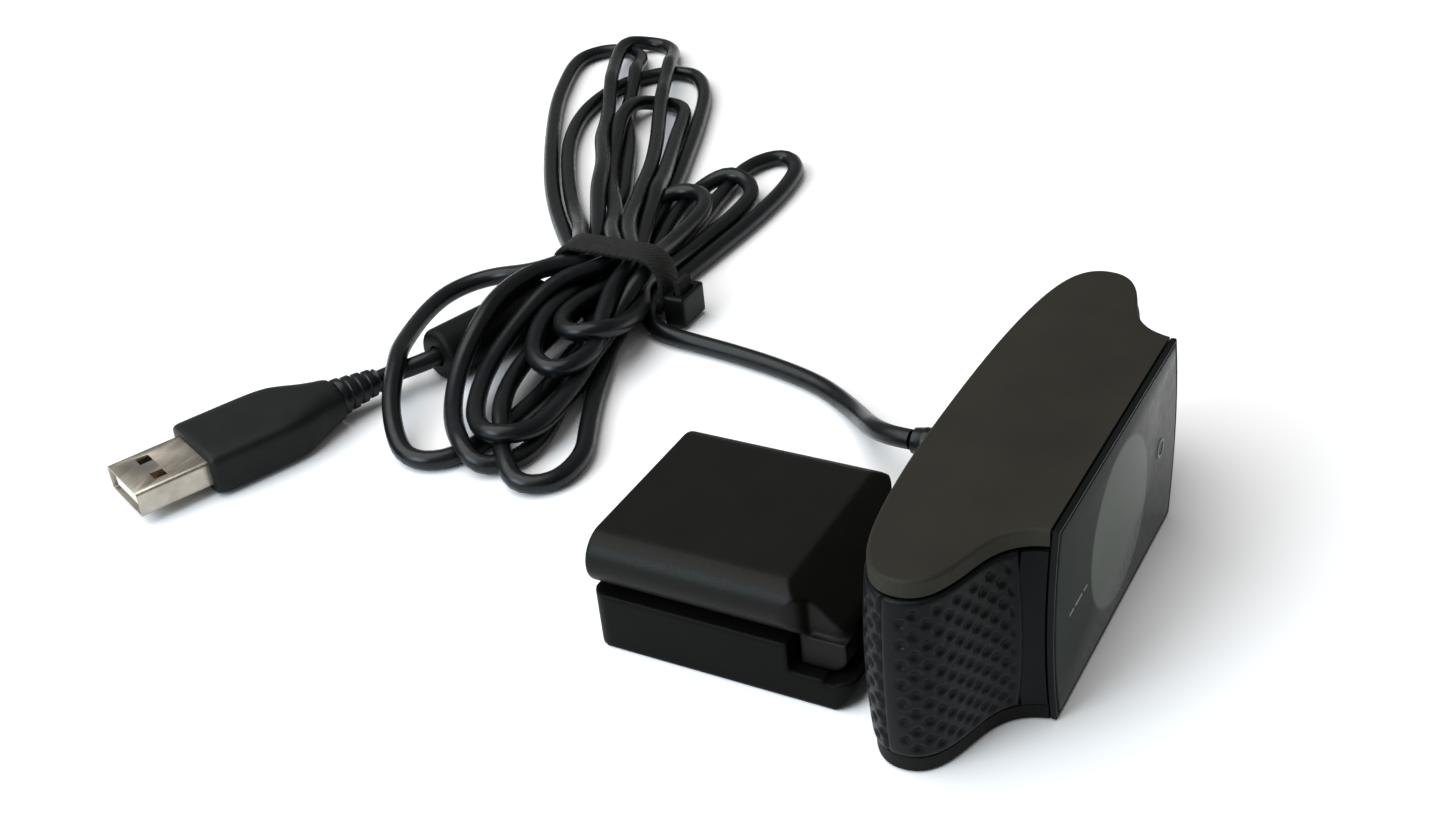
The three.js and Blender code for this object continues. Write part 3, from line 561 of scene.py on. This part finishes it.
def behind_plug(t):
    """A point on the plug's axis, t behind the front of its moulding."""
    a = math.radians(PLUG["angle"])
    return (PLUG["x"] - math.cos(a) * t, PLUG["y"] - math.sin(a) * t, PLUG["z"])


def tail_points():
    """Through the ferrite bead and into the plug's strain relief."""
    reach = MOULD_LENGTH + RELIEF_LENGTH + 2 * GAP
    through = [bead_axis(t) for t in (BEAD["length"] + 3, 20, 12, 4, -2)]
    return through + [behind_plug(reach + 3), behind_plug(reach - 1)]


def smooth_through(points):
    """A centripetal curve through the points, sampled evenly."""
    points = np.asarray(points, float)
    padded = np.vstack([2 * points[0] - points[1], points, 2 * points[-1] - points[-2]])
    samples = []
    for i in range(1, len(padded) - 2):
        p = padded[i - 1:i + 3]
        t = np.concatenate([[0], np.cumsum(np.sqrt(np.linalg.norm(np.diff(p, axis=0), axis=1)))])
        for u in np.linspace(t[1], t[2], 12, endpoint=False):
            a = [p[k] + (p[k + 1] - p[k]) * (u - t[k]) / (t[k + 1] - t[k]) for k in range(3)]
            b = [a[k] + (a[k + 1] - a[k]) * (u - t[k]) / (t[k + 2] - t[k]) for k in range(2)]
            samples.append(b[0] + (b[1] - b[0]) * (u - t[1]) / (t[2] - t[1]))
    samples.append(padded[-2])
    return evenly(np.array(samples), STEP)


def evenly(points, step):
    """The same line with its points evenly spaced."""
    lengths = np.concatenate([[0], np.cumsum(np.linalg.norm(np.diff(points, axis=0), axis=1))])
    count = max(2, int(round(lengths[-1] / step)) + 1)
    marks = np.linspace(0, lengths[-1], count)
    return np.column_stack([np.interp(marks, lengths, points[:, k]) for k in range(3)])


def relax(values, strength):
    """One pass of smoothing along the cable, with the ends kept."""
    smooth = values.copy()
    smooth[1:-1] += strength * (0.5 * (values[:-2] + values[2:]) - values[1:-1])
    return smooth


def clear_of_rod(points, start, end, distance):
    """The shift that takes each point clear of a straight rod."""
    start, end = np.array(start), np.array(end)
    along = end - start
    t = np.clip((points - start) @ along / (along @ along), 0, 1)
    away = points - (start + t[:, None] * along)
    gap = np.linalg.norm(away, axis=1)
    short = np.clip(distance - gap, 0, None)
    return away / np.maximum(gap, 1e-6)[:, None] * short[:, None]


def beside_tie(path):
    """How close each point is to the tie, from 0 to 1, and which points run through it."""
    from_tie = np.abs(path[:, 0] - (TIE["left"] + TIE["right"]) / 2)
    within = (path[:, 1] > TIE["near"]) & (path[:, 1] < TIE["far"])
    closeness = np.clip((6 - from_tie) / 2.5, 0, 1) * within
    return closeness, (from_tie < 4.5) & (closeness > 0)


def close_pairs(points):
    """Pairs of points on different strands that nearly meet."""
    first, second = np.triu_indices(len(points), k=int(2.5 * CORD / STEP))
    gap = np.linalg.norm(points[first] - points[second], axis=1)
    close = gap < 2 * CORD
    return first[close], second[close]


def pushed_apart(points, first, second):
    """The shift that takes strands off one another."""
    away = points[first] - points[second]
    gap = np.linalg.norm(away, axis=1)
    short = np.clip(CORD * APART - gap, 0, None)
    push = away / np.maximum(gap, 1e-6)[:, None] * (0.5 * short)[:, None]
    touching = (short > 0) * 1.0
    total = np.zeros((len(points), 3))
    weight = np.zeros(len(points))
    np.add.at(total, first, push)
    np.add.at(total, second, -push)
    np.add.at(weight, first, touching)
    np.add.at(weight, second, touching)
    return PUSH * total / np.maximum(weight, 1.0)[:, None]


def drawn_back(moved, hold):
    """A shift from the route, partly given up and smoothed along the cable."""
    moved = moved * (1 - SIDE_HOLD, 1 - SIDE_HOLD, 1)
    moved = moved - hold * moved * (1, 1, 0.5)
    return relax(relax(moved, 0.5), 0.5)


def settle_cable(path):
    """Presses the strands down until they rest on the table, the bead and one another."""
    radius = CORD / 2
    closeness, in_tie = beside_tie(path)
    lowest = radius + (TIE["wall"] + 0.05) * closeness
    hold = np.where(in_tie, HOLD_IN_TIE, HOLD)[:, None]
    pinned = np.zeros(len(path), bool)
    pinned[:PINNED_START] = True
    pinned[-int(PINNED_TAIL / STEP):] = True
    reach = MOULD_LENGTH + 2 * GAP
    bead = (bead_axis(0), bead_axis(BEAD["length"]), BEAD["radius"] + radius + 0.1)
    relief = (behind_plug(reach), behind_plug(reach + RELIEF_LENGTH), RELIEF_RADIUS + radius)
    points = path.copy()
    for turn in range(SETTLE_ROUNDS):
        if turn % PAIR_ROUNDS == 0:
            pairs = close_pairs(points)
        points = path + drawn_back(points - path, hold)
        sunk = relax(relax(points[:, 2], 0.6), 0.6) - SAG
        points[:, 2] = np.where(in_tie, points[:, 2], sunk)
        points += pushed_apart(points, *pairs)
        for rod in (bead, relief):
            points[~pinned] += clear_of_rod(points[~pinned], *rod)
        points[:, 2] = np.maximum(points[:, 2], lowest)
        points[in_tie, 1] = np.clip(points[in_tie, 1], TIE["near"] + TIE_INSIDE,
                                    TIE["far"] - TIE_INSIDE)
        points[in_tie, 2] = np.clip(points[in_tie, 2], TIE_INSIDE, TIE["height"] - TIE_INSIDE)
        points = relax(points, 0.3)
        points[pinned] = path[pinned]
    return points


def add_cable(material):
    """The settled cable, as one curve with a round section."""
    points = settle_cable(smooth_through(cable_route()))
    for _ in range(LAST_SMOOTHING):
        points = relax(points, 0.5)
    points = evenly(points, STEP)
    curve = bpy.data.curves.new("cable", "CURVE")
    curve.dimensions = "3D"
    curve.bevel_depth = CORD / 2 * MM
    curve.bevel_resolution = 3
    curve.use_fill_caps = True
    spline = curve.splines.new("POLY")
    spline.points.add(len(points) - 1)
    for target, point in zip(spline.points, points):
        target.co = (*(point * MM), 1.0)
    curve.materials.append(material)
    cable = bpy.data.objects.new("cable", curve)
    bpy.context.scene.collection.objects.link(cable)
    join_frame(cable, "head", ["cord_lead", "cord_hank", "cord_tail"])
    length = float(np.linalg.norm(np.diff(points, axis=0), axis=1).sum())
    print("cable length", round(length), "mm, highest", round(float(points[:, 2].max()), 1))
    return cable, length


# ---------- the head ----------
def bezier(p0, p1, p2, p3, count):
    """Points along a cubic curve, without its last one."""
    t = np.linspace(0, 1, count, endpoint=False)[:, None]
    p0, p1, p2, p3 = (np.array(p, float) for p in (p0, p1, p2, p3))
    return p0 * (1 - t) ** 3 + 3 * p1 * t * (1 - t) ** 2 + 3 * p2 * t * t * (1 - t) + p3 * t ** 3


def half_outline():
    """Right half of the head's plan, from the lens face to the middle of the back."""
    corners = [
        ((24.4, 0), (25, 4.4), (27.2, 6.6), (31.6, 7.9)),
        ((31.6, 7.9), (36.4, 9.4), (40.3, 10.6), (40.3, 14.8)),
        ((40.3, 14.8), (40.3, 18.6), (36.6, 20.4), (30.6, 21.5)),
        ((30.6, 21.5), (22, 23), (11, 23.3), (0, 23.3)),
    ]
    parts = [bezier(*c, 60) for c in corners]
    return np.vstack(parts + [[(0.0, 23.3)]])


def outward(points):
    """Unit directions out of the head at each point of half its outline."""
    along = np.gradient(points, axis=0)
    normal = np.column_stack([along[:, 1], -along[:, 0]])
    normal /= np.linalg.norm(normal, axis=1)[:, None]
    normal[-1] = (0, 1)
    return normal


def plan_half(grow, front, count):
    """Half the outline, grown outwards, cut off at the plane y = front, evenly spaced."""
    base = half_outline()
    points = base + outward(base) * grow
    points[-1, 0] = 0
    keep = points[:, 1] > front
    start = int(np.argmax(keep))
    a, b = points[start - 1] if start else points[0], points[start]
    t = (front - a[1]) / (b[1] - a[1]) if start else 0
    points = np.vstack([[a + (b - a) * t], points[start:]])
    lengths = np.concatenate([[0], np.cumsum(np.linalg.norm(np.diff(points, axis=0), axis=1))])
    marks = np.linspace(0, lengths[-1], count)
    return np.column_stack([np.interp(marks, lengths, points[:, k]) for k in range(2)])


def mirrored(half):
    """The half outline, then its mirror image back to the lens face."""
    return np.vstack([half, half[-2::-1] * (-1, 1)])


def add_cap(name, node, material, upward):
    """A flat shell with a broken edge; its top is filled by strips from side to side."""
    count = 90
    edge = 0.55
    low = HEAD_HEIGHT - CAP_HEIGHT
    steps = [(low, -0.25), (low + 0.2, 0.0), (HEAD_HEIGHT - edge, 0.0)]
    for k in range(1, 6):
        a = k / 5 * math.pi / 2
        steps.append((HEAD_HEIGHT - edge + edge * math.sin(a), -edge * (1 - math.cos(a))))
    rings = []
    for z, grow in steps:
        plan = mirrored(plan_half(grow, HOUSING_FRONT - 0.15, count))
        height = z if upward else HEAD_HEIGHT - z
        rings.append(np.column_stack([plan[:, 0], plan[:, 1] + FRONT_Y, np.full(len(plan), height)]))
    points, faces = loft(rings, ends=False)
    size = len(rings[0])
    for start in (0, (len(rings) - 1) * size):
        for i in range(count - 1):
            j = size - 1 - i
            if i + 1 == j - 1:
                faces.append((start + i, start + i + 1, start + j))
            else:
                faces.append((start + i, start + i + 1, start + j - 1, start + j))
    add_piece(name, points, faces, material, replaced=[node])


def swell(distance, z):
    """How far the wrapped side stands out: most at mid height, and most near the lens."""
    rise = 1 - ((z - MIDDLE) / (MIDDLE - CAP_HEIGHT - GAP)) ** 2
    return (0.55 + 1.15 * np.exp(-(distance / 5.0) ** 2)) * rise


def dimples(along, z):
    """Depth of a staggered field of round dimples."""
    depth = np.zeros_like(along)
    for shift in (0.0, 0.5):
        u = (along / DIMPLE_PITCH + shift) % 1 - 0.5
        v = ((z - MIDDLE) / DIMPLE_PITCH + shift) % 1 - 0.5
        r = np.hypot(u, v) * DIMPLE_PITCH / DIMPLE_RADIUS
        depth += np.clip(1 - r ** 2, 0, 1) ** 0.9
    return depth * DIMPLE_DEPTH


def wrap_rings(plan, normal, heights):
    """The wrap's outside, a line of points at each height, with a seam on one lobe."""
    gaps = np.linalg.norm(np.diff(plan, axis=0), axis=1)
    along = np.concatenate([[0], np.cumsum(gaps)])
    from_end = np.minimum(along, along[-1] - along)
    from_seam = along - along[int(np.argmin(np.linalg.norm(plan - SEAM_PLACE, axis=1)))]
    inside_ends = np.clip((from_end - 1.0) / 0.5, 0, 1)
    beside_seam = np.clip((np.abs(from_seam - 0.9) - 1.0) / 0.35, 0, 1)
    groove = np.exp(-(from_seam / 0.22) ** 2) * 0.35
    rings = []
    for z in heights:
        level = np.full(len(plan), z)
        from_edge = min(z - heights[0], heights[-1] - z)
        fade = inside_ends * np.clip(from_edge / 0.8 - 0.9, 0, 1) * beside_seam
        grow = swell(from_end, level) - dimples(from_seam - DIMPLE_START, level) * fade
        lip = np.exp(-np.minimum(from_edge, from_end) / 0.18) * 0.22
        skin = plan + normal * (grow - groove - lip)[:, None]
        rings.append(np.column_stack([skin[:, 0], skin[:, 1] + FRONT_Y, level]))
    return rings


def add_band(material):
    """The wrap: a dimpled skin round the back, closed behind by a smooth one."""
    spacing = 0.23
    half = plan_half(BAND_PROUD, BAND_START, 600)
    run = np.linalg.norm(np.diff(half, axis=0), axis=1).sum()
    half = plan_half(BAND_PROUD, BAND_START, int(run / spacing))
    plan = mirrored(half)
    inner = mirrored(plan_half(-0.85, BAND_START, len(half)))
    low, high = CAP_HEIGHT + GAP, HEAD_HEIGHT - CAP_HEIGHT - GAP
    heights = np.linspace(low, high, int((high - low) / spacing) + 1)
    rings = wrap_rings(plan, mirrored(outward(half)), heights)
    points, faces = loft(rings, around=False, ends=False)
    columns = len(plan)
    rows = len(heights)
    base = len(points)
    back = [np.column_stack([inner[:, 0], inner[:, 1] + FRONT_Y, np.full(columns, z)])
            for z in (low, high)]
    points = np.vstack([points] + back)
    top = base + columns
    last = (rows - 1) * columns
    for i in range(columns - 1):
        faces.append((base + i, base + i + 1, top + i + 1, top + i))
        faces.append((i, i + 1, base + i + 1, base + i))
        faces.append((last + i, last + i + 1, top + i + 1, top + i))
    for column in (0, columns - 1):
        edge = [row * columns + column for row in range(rows)]
        faces.append(tuple(edge + [top + column, base + column]))
    add_piece("dimpled_wrap", points, faces, material, replaced=["wrap_band"], sharp=60)


def face_outline(half, z0, z1):
    """The lens face's outline in X and Z: flat top and bottom, bowed sides."""
    t = np.linspace(0, 1, 36)
    z = z0 + (z1 - z0) * t
    x = half + FACE_BULGE * 4 * t * (1 - t)
    right = np.column_stack([x, z])
    return np.vstack([right, right[::-1] * (-1, 1)])


def face_ring(outline, y):
    """An outline in X and Z, set y behind the lens face."""
    return np.column_stack([outline[:, 0], np.full(len(outline), y + FRONT_Y), outline[:, 1]])


def add_rim(material):
    """The thin frame round the pane."""
    top = HEAD_HEIGHT - 0.2
    rim = []
    for y, inset in [(1.0, 0.15), (0.85, 0.0), (0.25, 0.0), (0.1, 0.12), (0.1, 0.42), (0.2, 0.55),
                     (1.0, 0.6)]:
        rim.append(face_ring(face_outline(FACE_HALF - inset, 0.2 + inset, top - inset), y))
    points, faces = loft(rim + [rim[0]], ends=False)
    add_piece("pane_rim", points, faces, material, replaced=["face_rim"])


def add_pane(material):
    """The smoked pane, with its edge rounded off."""
    pane = []
    for y, inset in [(1.0, 0.85), (0.25, 0.85), (0.08, 0.92), (0.0, 1.1)]:
        pane.append(face_ring(face_outline(FACE_HALF - inset, inset, HEAD_HEIGHT - inset), y))
    points, faces = loft(pane)
    add_piece("smoked_front", points, faces, material, replaced=["front_glass"])


def add_strip(material):
    """The plain strip between the wrap and the pane's frame, on both sides."""
    low, high = CAP_HEIGHT + GAP, HEAD_HEIGHT - CAP_HEIGHT - GAP
    z = np.linspace(low, high, 40)
    strip = []
    base = plan_half(BAND_PROUD, 0.6, 400)
    for y in np.linspace(1.15, BAND_START - 0.25, 12):
        x = np.interp(y, base[:120, 1], base[:120, 0])
        out = x + swell(BAND_START - y, z) - 0.05
        right = np.column_stack([out, z])
        strip.append(face_ring(np.vstack([right, right[::-1] * (-1, 1)]), y))
    points, faces = loft(strip)
    add_piece("front_strip", points, faces, material, replaced=["front_housing"])


def add_printed_marks(material):
    """Two small generic marks on the pane: three short dashes and a plain ring."""
    points, faces = [], []
    for left, right in [(-20.4, -18.8), (-18.2, -15.6), (-15.0, -13.6)]:
        outline = np.array([(left, 14.1), (right, 14.1), (right, 14.45), (left, 14.45)])
        bar, skin = loft([face_ring(outline, 0.02), face_ring(outline, -0.03)])
        faces += [tuple(i + len(points) for i in face) for face in skin]
        points += list(bar)
    angles = np.linspace(0, 2 * np.pi, 40, endpoint=False)
    circle = np.column_stack([np.cos(angles), np.sin(angles)])
    rings = [face_ring(circle * radius + (18.2, 15.4), y)
             for radius, y in [(1.5, 0.02), (1.5, -0.03), (1.05, -0.03), (1.05, 0.02)]]
    ring, skin = loft(rings + [rings[0]], ends=False)
    faces += [tuple(i + len(points) for i in face) for face in skin]
    points += list(ring)
    add_piece("printed_marks", points, faces, material)


def add_gland(material):
    """The head's ribbed strain relief, measured back from the lens face."""
    profile = [(18.2, 0), (18.2, 3.4), (18.5, 3.7), (19.8, 3.7), (20, 3), (23.9, 3), (23.9, 3.7),
               (24.1, 3.9), (24.9, 3.9), (25.3, 3.4), (25.6, 3.05)]
    for i in range(4):
        start = 26.2 + i * 2.4
        radius = 3.0 - i * 0.2
        profile += [(start, radius - 0.45), (start + 0.8, radius - 0.5), (start + 1.0, radius - 0.08),
                    (start + 1.15, radius), (start + 2.05, radius - 0.02), (start + 2.2, radius - 0.1)]
    profile += [(36.6, 2.1), (37.1, 2.0), (37.2, 1.85), (37.2, 0)]
    rings = turned(profile)
    points, faces = loft(rings)
    points = to_world(points, (GLAND_X, FRONT_Y, GLAND_Z), 90)
    add_piece("head_strain_relief", points, faces, material, replaced=["cable_gland"])


# ---------- the tie ----------
def rounded_section(y0, y1, z0, z1, corner):
    """A rounded rectangle in Y and Z."""
    count = 10
    centres = [(y1 - corner, z0 + corner, -90), (y1 - corner, z1 - corner, 0),
               (y0 + corner, z1 - corner, 90), (y0 + corner, z0 + corner, 180)]
    points = []
    for cy, cz, start in centres:
        for k in range(count + 1):
            a = math.radians(start + 90 * k / count)
            points.append((cy + corner * math.cos(a), cz + corner * math.sin(a)))
    return np.array(points)


def add_tie(material):
    """The strap: a closed loop with its long edges rounded off."""
    wall = TIE["wall"]
    soft = 0.25
    crossing = [(TIE["left"], soft), (TIE["left"] + soft, 0), (TIE["right"] - soft, 0),
                (TIE["right"], soft)]
    section = crossing + [(x, wall - inset) for x, inset in reversed(crossing)]
    rings = []
    for x, inset in section:
        outline = rounded_section(TIE["near"] + inset, TIE["far"] - inset, inset,
                                  TIE["height"] - inset, 5 - inset)
        rings.append(np.column_stack([np.full(len(outline), x), outline]))
    points, faces = loft(rings + [rings[0]], ends=False)
    return add_piece("strap", points, faces, material, replaced=["tie_band"], sharp=50)


# ---------- bead and plug ----------
def add_bead(material):
    """The ferrite bead's sleeve, with rounded ends and a bore for the cable."""
    half = BEAD["length"] / 2
    bore = CORD / 2 + GAP
    radius = BEAD["radius"]
    round_end = 1.1
    profile = [(-half, bore), (-half, radius - round_end)]
    for k in range(1, 6):
        a = k / 5 * math.pi / 2
        profile.append((-half + round_end * (1 - math.cos(a)),
                        radius - round_end + round_end * math.sin(a)))
    profile += [(-x, r) for x, r in reversed(profile)]
    rings = turned(profile)
    points, faces = loft(rings + [rings[0]], ends=False)
    points = to_world(points, bead_axis(half), BEAD["angle"])
    return add_piece("ferrite_sleeve", points, faces, material, replaced=["ferrite_bead"])


def add_overmould(material):
    """The plug's moulded grip: a softly rounded block that narrows to the strain relief."""
    # How far back from its front, and the half width or half height there.
    widths = [(0.0, 7.6), (-0.35, 8.0), (-1.2, 8.1), (-11, 8.1), (-14.5, 7.95), (-17.5, 7.35),
              (-20, 6.35), (-22, 5.35), (-24, 4.6), (-25.6, 4.2), (-26.0, 3.9)]
    heights = [(0.0, 3.5), (-0.35, 3.85), (-1.2, 3.95), (-15, 3.95), (-19, 3.85), (-22.5, 3.6),
               (-25.6, 3.45), (-26.0, 3.15)]
    places = np.unique(np.concatenate([np.linspace(-MOULD_LENGTH, 0, 70),
                                       [-0.1, -0.2, -0.5, -0.8, -25.9, -25.8]]))
    wide = np.array(widths[::-1])
    tall = np.array(heights[::-1])
    angles = np.linspace(0, 2 * np.pi, 96, endpoint=False)
    rings = []
    for x in places:
        half = np.interp(x, wide[:, 0], wide[:, 1])
        high = np.interp(x, tall[:, 0], tall[:, 1])
        square = 0.34 + 0.5 * np.clip((-x - 17) / 9, 0, 1)
        y = half * np.sign(np.cos(angles)) * np.abs(np.cos(angles)) ** square
        z = high * np.sign(np.sin(angles)) * np.abs(np.sin(angles)) ** square
        rings.append(np.column_stack([np.full(len(angles), x), y, z]))
    nearby = [rings[max(0, i - 2):i + 3] for i in range(len(rings))]
    points, faces = loft([sum(group) / len(group) for group in nearby])
    points = to_world(points, (PLUG["x"], PLUG["y"], PLUG["z"]), PLUG["angle"])
    return add_piece("plug_grip", points, faces, material, replaced=["plug_overmould"],
                     sharp=50)


def add_plug_relief(material):
    """Four ribs that get smaller towards the cable."""
    profile = [(0, 0), (0, 3.2)]
    for i in range(4):
        start = i * 1.9
        radius = 3.3 - i * 0.27
        profile += [(start + 0.15, radius), (start + 1.15, radius - 0.02),
                    (start + 1.3, radius - 0.15), (start + 1.4, radius - 0.5),
                    (start + 1.8, radius - 0.5)]
    profile += [(RELIEF_LENGTH - 0.2, 2.2), (RELIEF_LENGTH, 2.0), (RELIEF_LENGTH, 0)]
    points, faces = loft(turned(profile))
    points = points * (-1, 1, 1) + (-MOULD_LENGTH - GAP, 0, 0)
    points = to_world(points, (PLUG["x"], PLUG["y"], PLUG["z"]), PLUG["angle"])
    return add_piece("plug_strain_relief", points, faces, material, replaced=["plug_relief"])


def dress(nodes, material):
    """Gives carried-over nodes their finished material."""
    for name in nodes:
        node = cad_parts[name]
        node.data.materials.clear()
        node.data.materials.append(material)


def main():
    """The camera and the cable come first, then the studio, the materials and every piece."""
    add_camera()
    jacket = cable_jacket()
    cable, length = add_cable(jacket)
    add_studio()

    cap = surface("cap_plastic", (0.0155, 0.0138, 0.0092), 0.66, grain=(3.5, 0.35),
                  mottle=(0.1, 0.14), ior=1.3)
    # The bottom shell gets a darker copy of the cap plastic: painted shade for the shade that falls on
    # the underside by the table.
    underside_painted_shade = surface("underside_plastic_painted_shade", (0.005, 0.005, 0.0042), 0.6, grain=(3.5, 0.35),
                        mottle=(0.1, 0.14), ior=1.2)
    clip = surface("clip_plastic", (0.0048, 0.0047, 0.0034), 0.45, grain=(4.0, 0.4),
                   mottle=(0.1, 0.15), ior=1.22)
    # The clip's lower plate gets a darker copy of the clip plastic: painted shade for the shade that
    # falls on it below the upper plate.
    clip_shadow = surface("clip_base_plastic_painted_shade", (0.0022, 0.0022, 0.0017), 0.5, grain=(4.0, 0.4),
                          mottle=(0.1, 0.15), ior=1.15)
    satin = surface("satin_black", (0.0025, 0.003, 0.003), 0.4, grain=(3.0, 0.1), ior=1.2)
    strip = surface("strip_plastic", (0.002, 0.0027, 0.0028), 0.4, grain=(3.0, 0.12), ior=1.18)
    rubber = surface("rubber", (0.008, 0.008, 0.0075), 0.85, grain=(5.0, 0.4), ior=1.25)
    mould = surface("overmould", (0.0068, 0.0078, 0.0072), 0.48, grain=(4.0, 0.35),
                    mottle=(0.2, 0.2), ior=1.25)
    bead_skin = surface("bead_sleeve", (0.0032, 0.0038, 0.0033), 0.5, grain=(3.0, 0.3), ior=1.2)
    ivory = surface("ivory_plastic", (0.7, 0.67, 0.6), 0.45, grain=(2.0, 0.1), mottle=(0.2, 0.05))
    chip = surface("chip_epoxy", (0.01, 0.01, 0.01), 0.5, grain=(8.0, 0.4))
    eye = surface("eye_paint", (0.12, 0.13, 0.127), 0.5, grain=(4.0, 0.1), mottle=(0.2, 0.05))
    steel = plated("plated_steel", (0.55, 0.55, 0.54), 0.3)
    shell = plated("plug_plate", (0.43, 0.39, 0.33), 0.34)
    gold = plated("gold_plate", (0.8, 0.56, 0.2), 0.22)

    add_cap("top_shell", "top_cap", cap, True)
    # The bottom shell wears the cap plastic's darker copy, which is painted shade.
    add_cap("bottom_shell", "bottom_cap", underside_painted_shade, False)
    add_band(leather())
    add_rim(satin)
    add_pane(smoked_pane())
    add_strip(strip)
    add_printed_marks(surface("mark_ink", (0.2, 0.22, 0.22), 0.6, grain=(6.0, 0.2)))
    add_gland(jacket)
    softened("clip_leg", "leg", clip, 0.3, 4)
    # The lower plate wears the clip plastic's darker copy, which is painted shade.
    softened("clip_base", "base", clip_shadow, 0.3, 3)
    softened("neck", "head", clip, 0.25, 3)

    strap = add_tie(webbing())
    buckle = softened("tie_buckle", "head", satin, 0.22, 45)
    tail = softened("tie_tail", "head", rubber, 0.15, 2)
    bead = add_bead(bead_skin)
    mould_piece = add_overmould(mould)
    relief = add_plug_relief(jacket)
    metal = bevelled("plug_shell", "head", shell, 0.12)
    tongue = bevelled("plug_tongue", "head", ivory, 0.15)
    contacts = [f"plug_contact_{i}" for i in range(1, 5)]
    dress(contacts, gold)

    dress(["main_board"], circuit_board())
    dress(["video_processor", "memory_chip", "image_sensor"], chip)
    dress(["cable_socket", "cable_header", "status_led"], ivory)
    dress(["clock_crystal", "microphone_left", "microphone_right", "board_screw_left",
           "board_screw_right", "neck_screw_left", "neck_screw_right", "tilt_pin", "leg_pin"], steel)
    dress(["base_grip_pad", "leg_grip_pad", "microphone_boot_left", "microphone_boot_right"], rubber)
    dress(["chassis", "lens_barrel", "lens_holder", "board_post_left", "board_post_right"], satin)
    dress(["lens_surround"], eye)
    dress(["front_lens", "rear_lens", "infrared_filter"], lens_glass())


main()
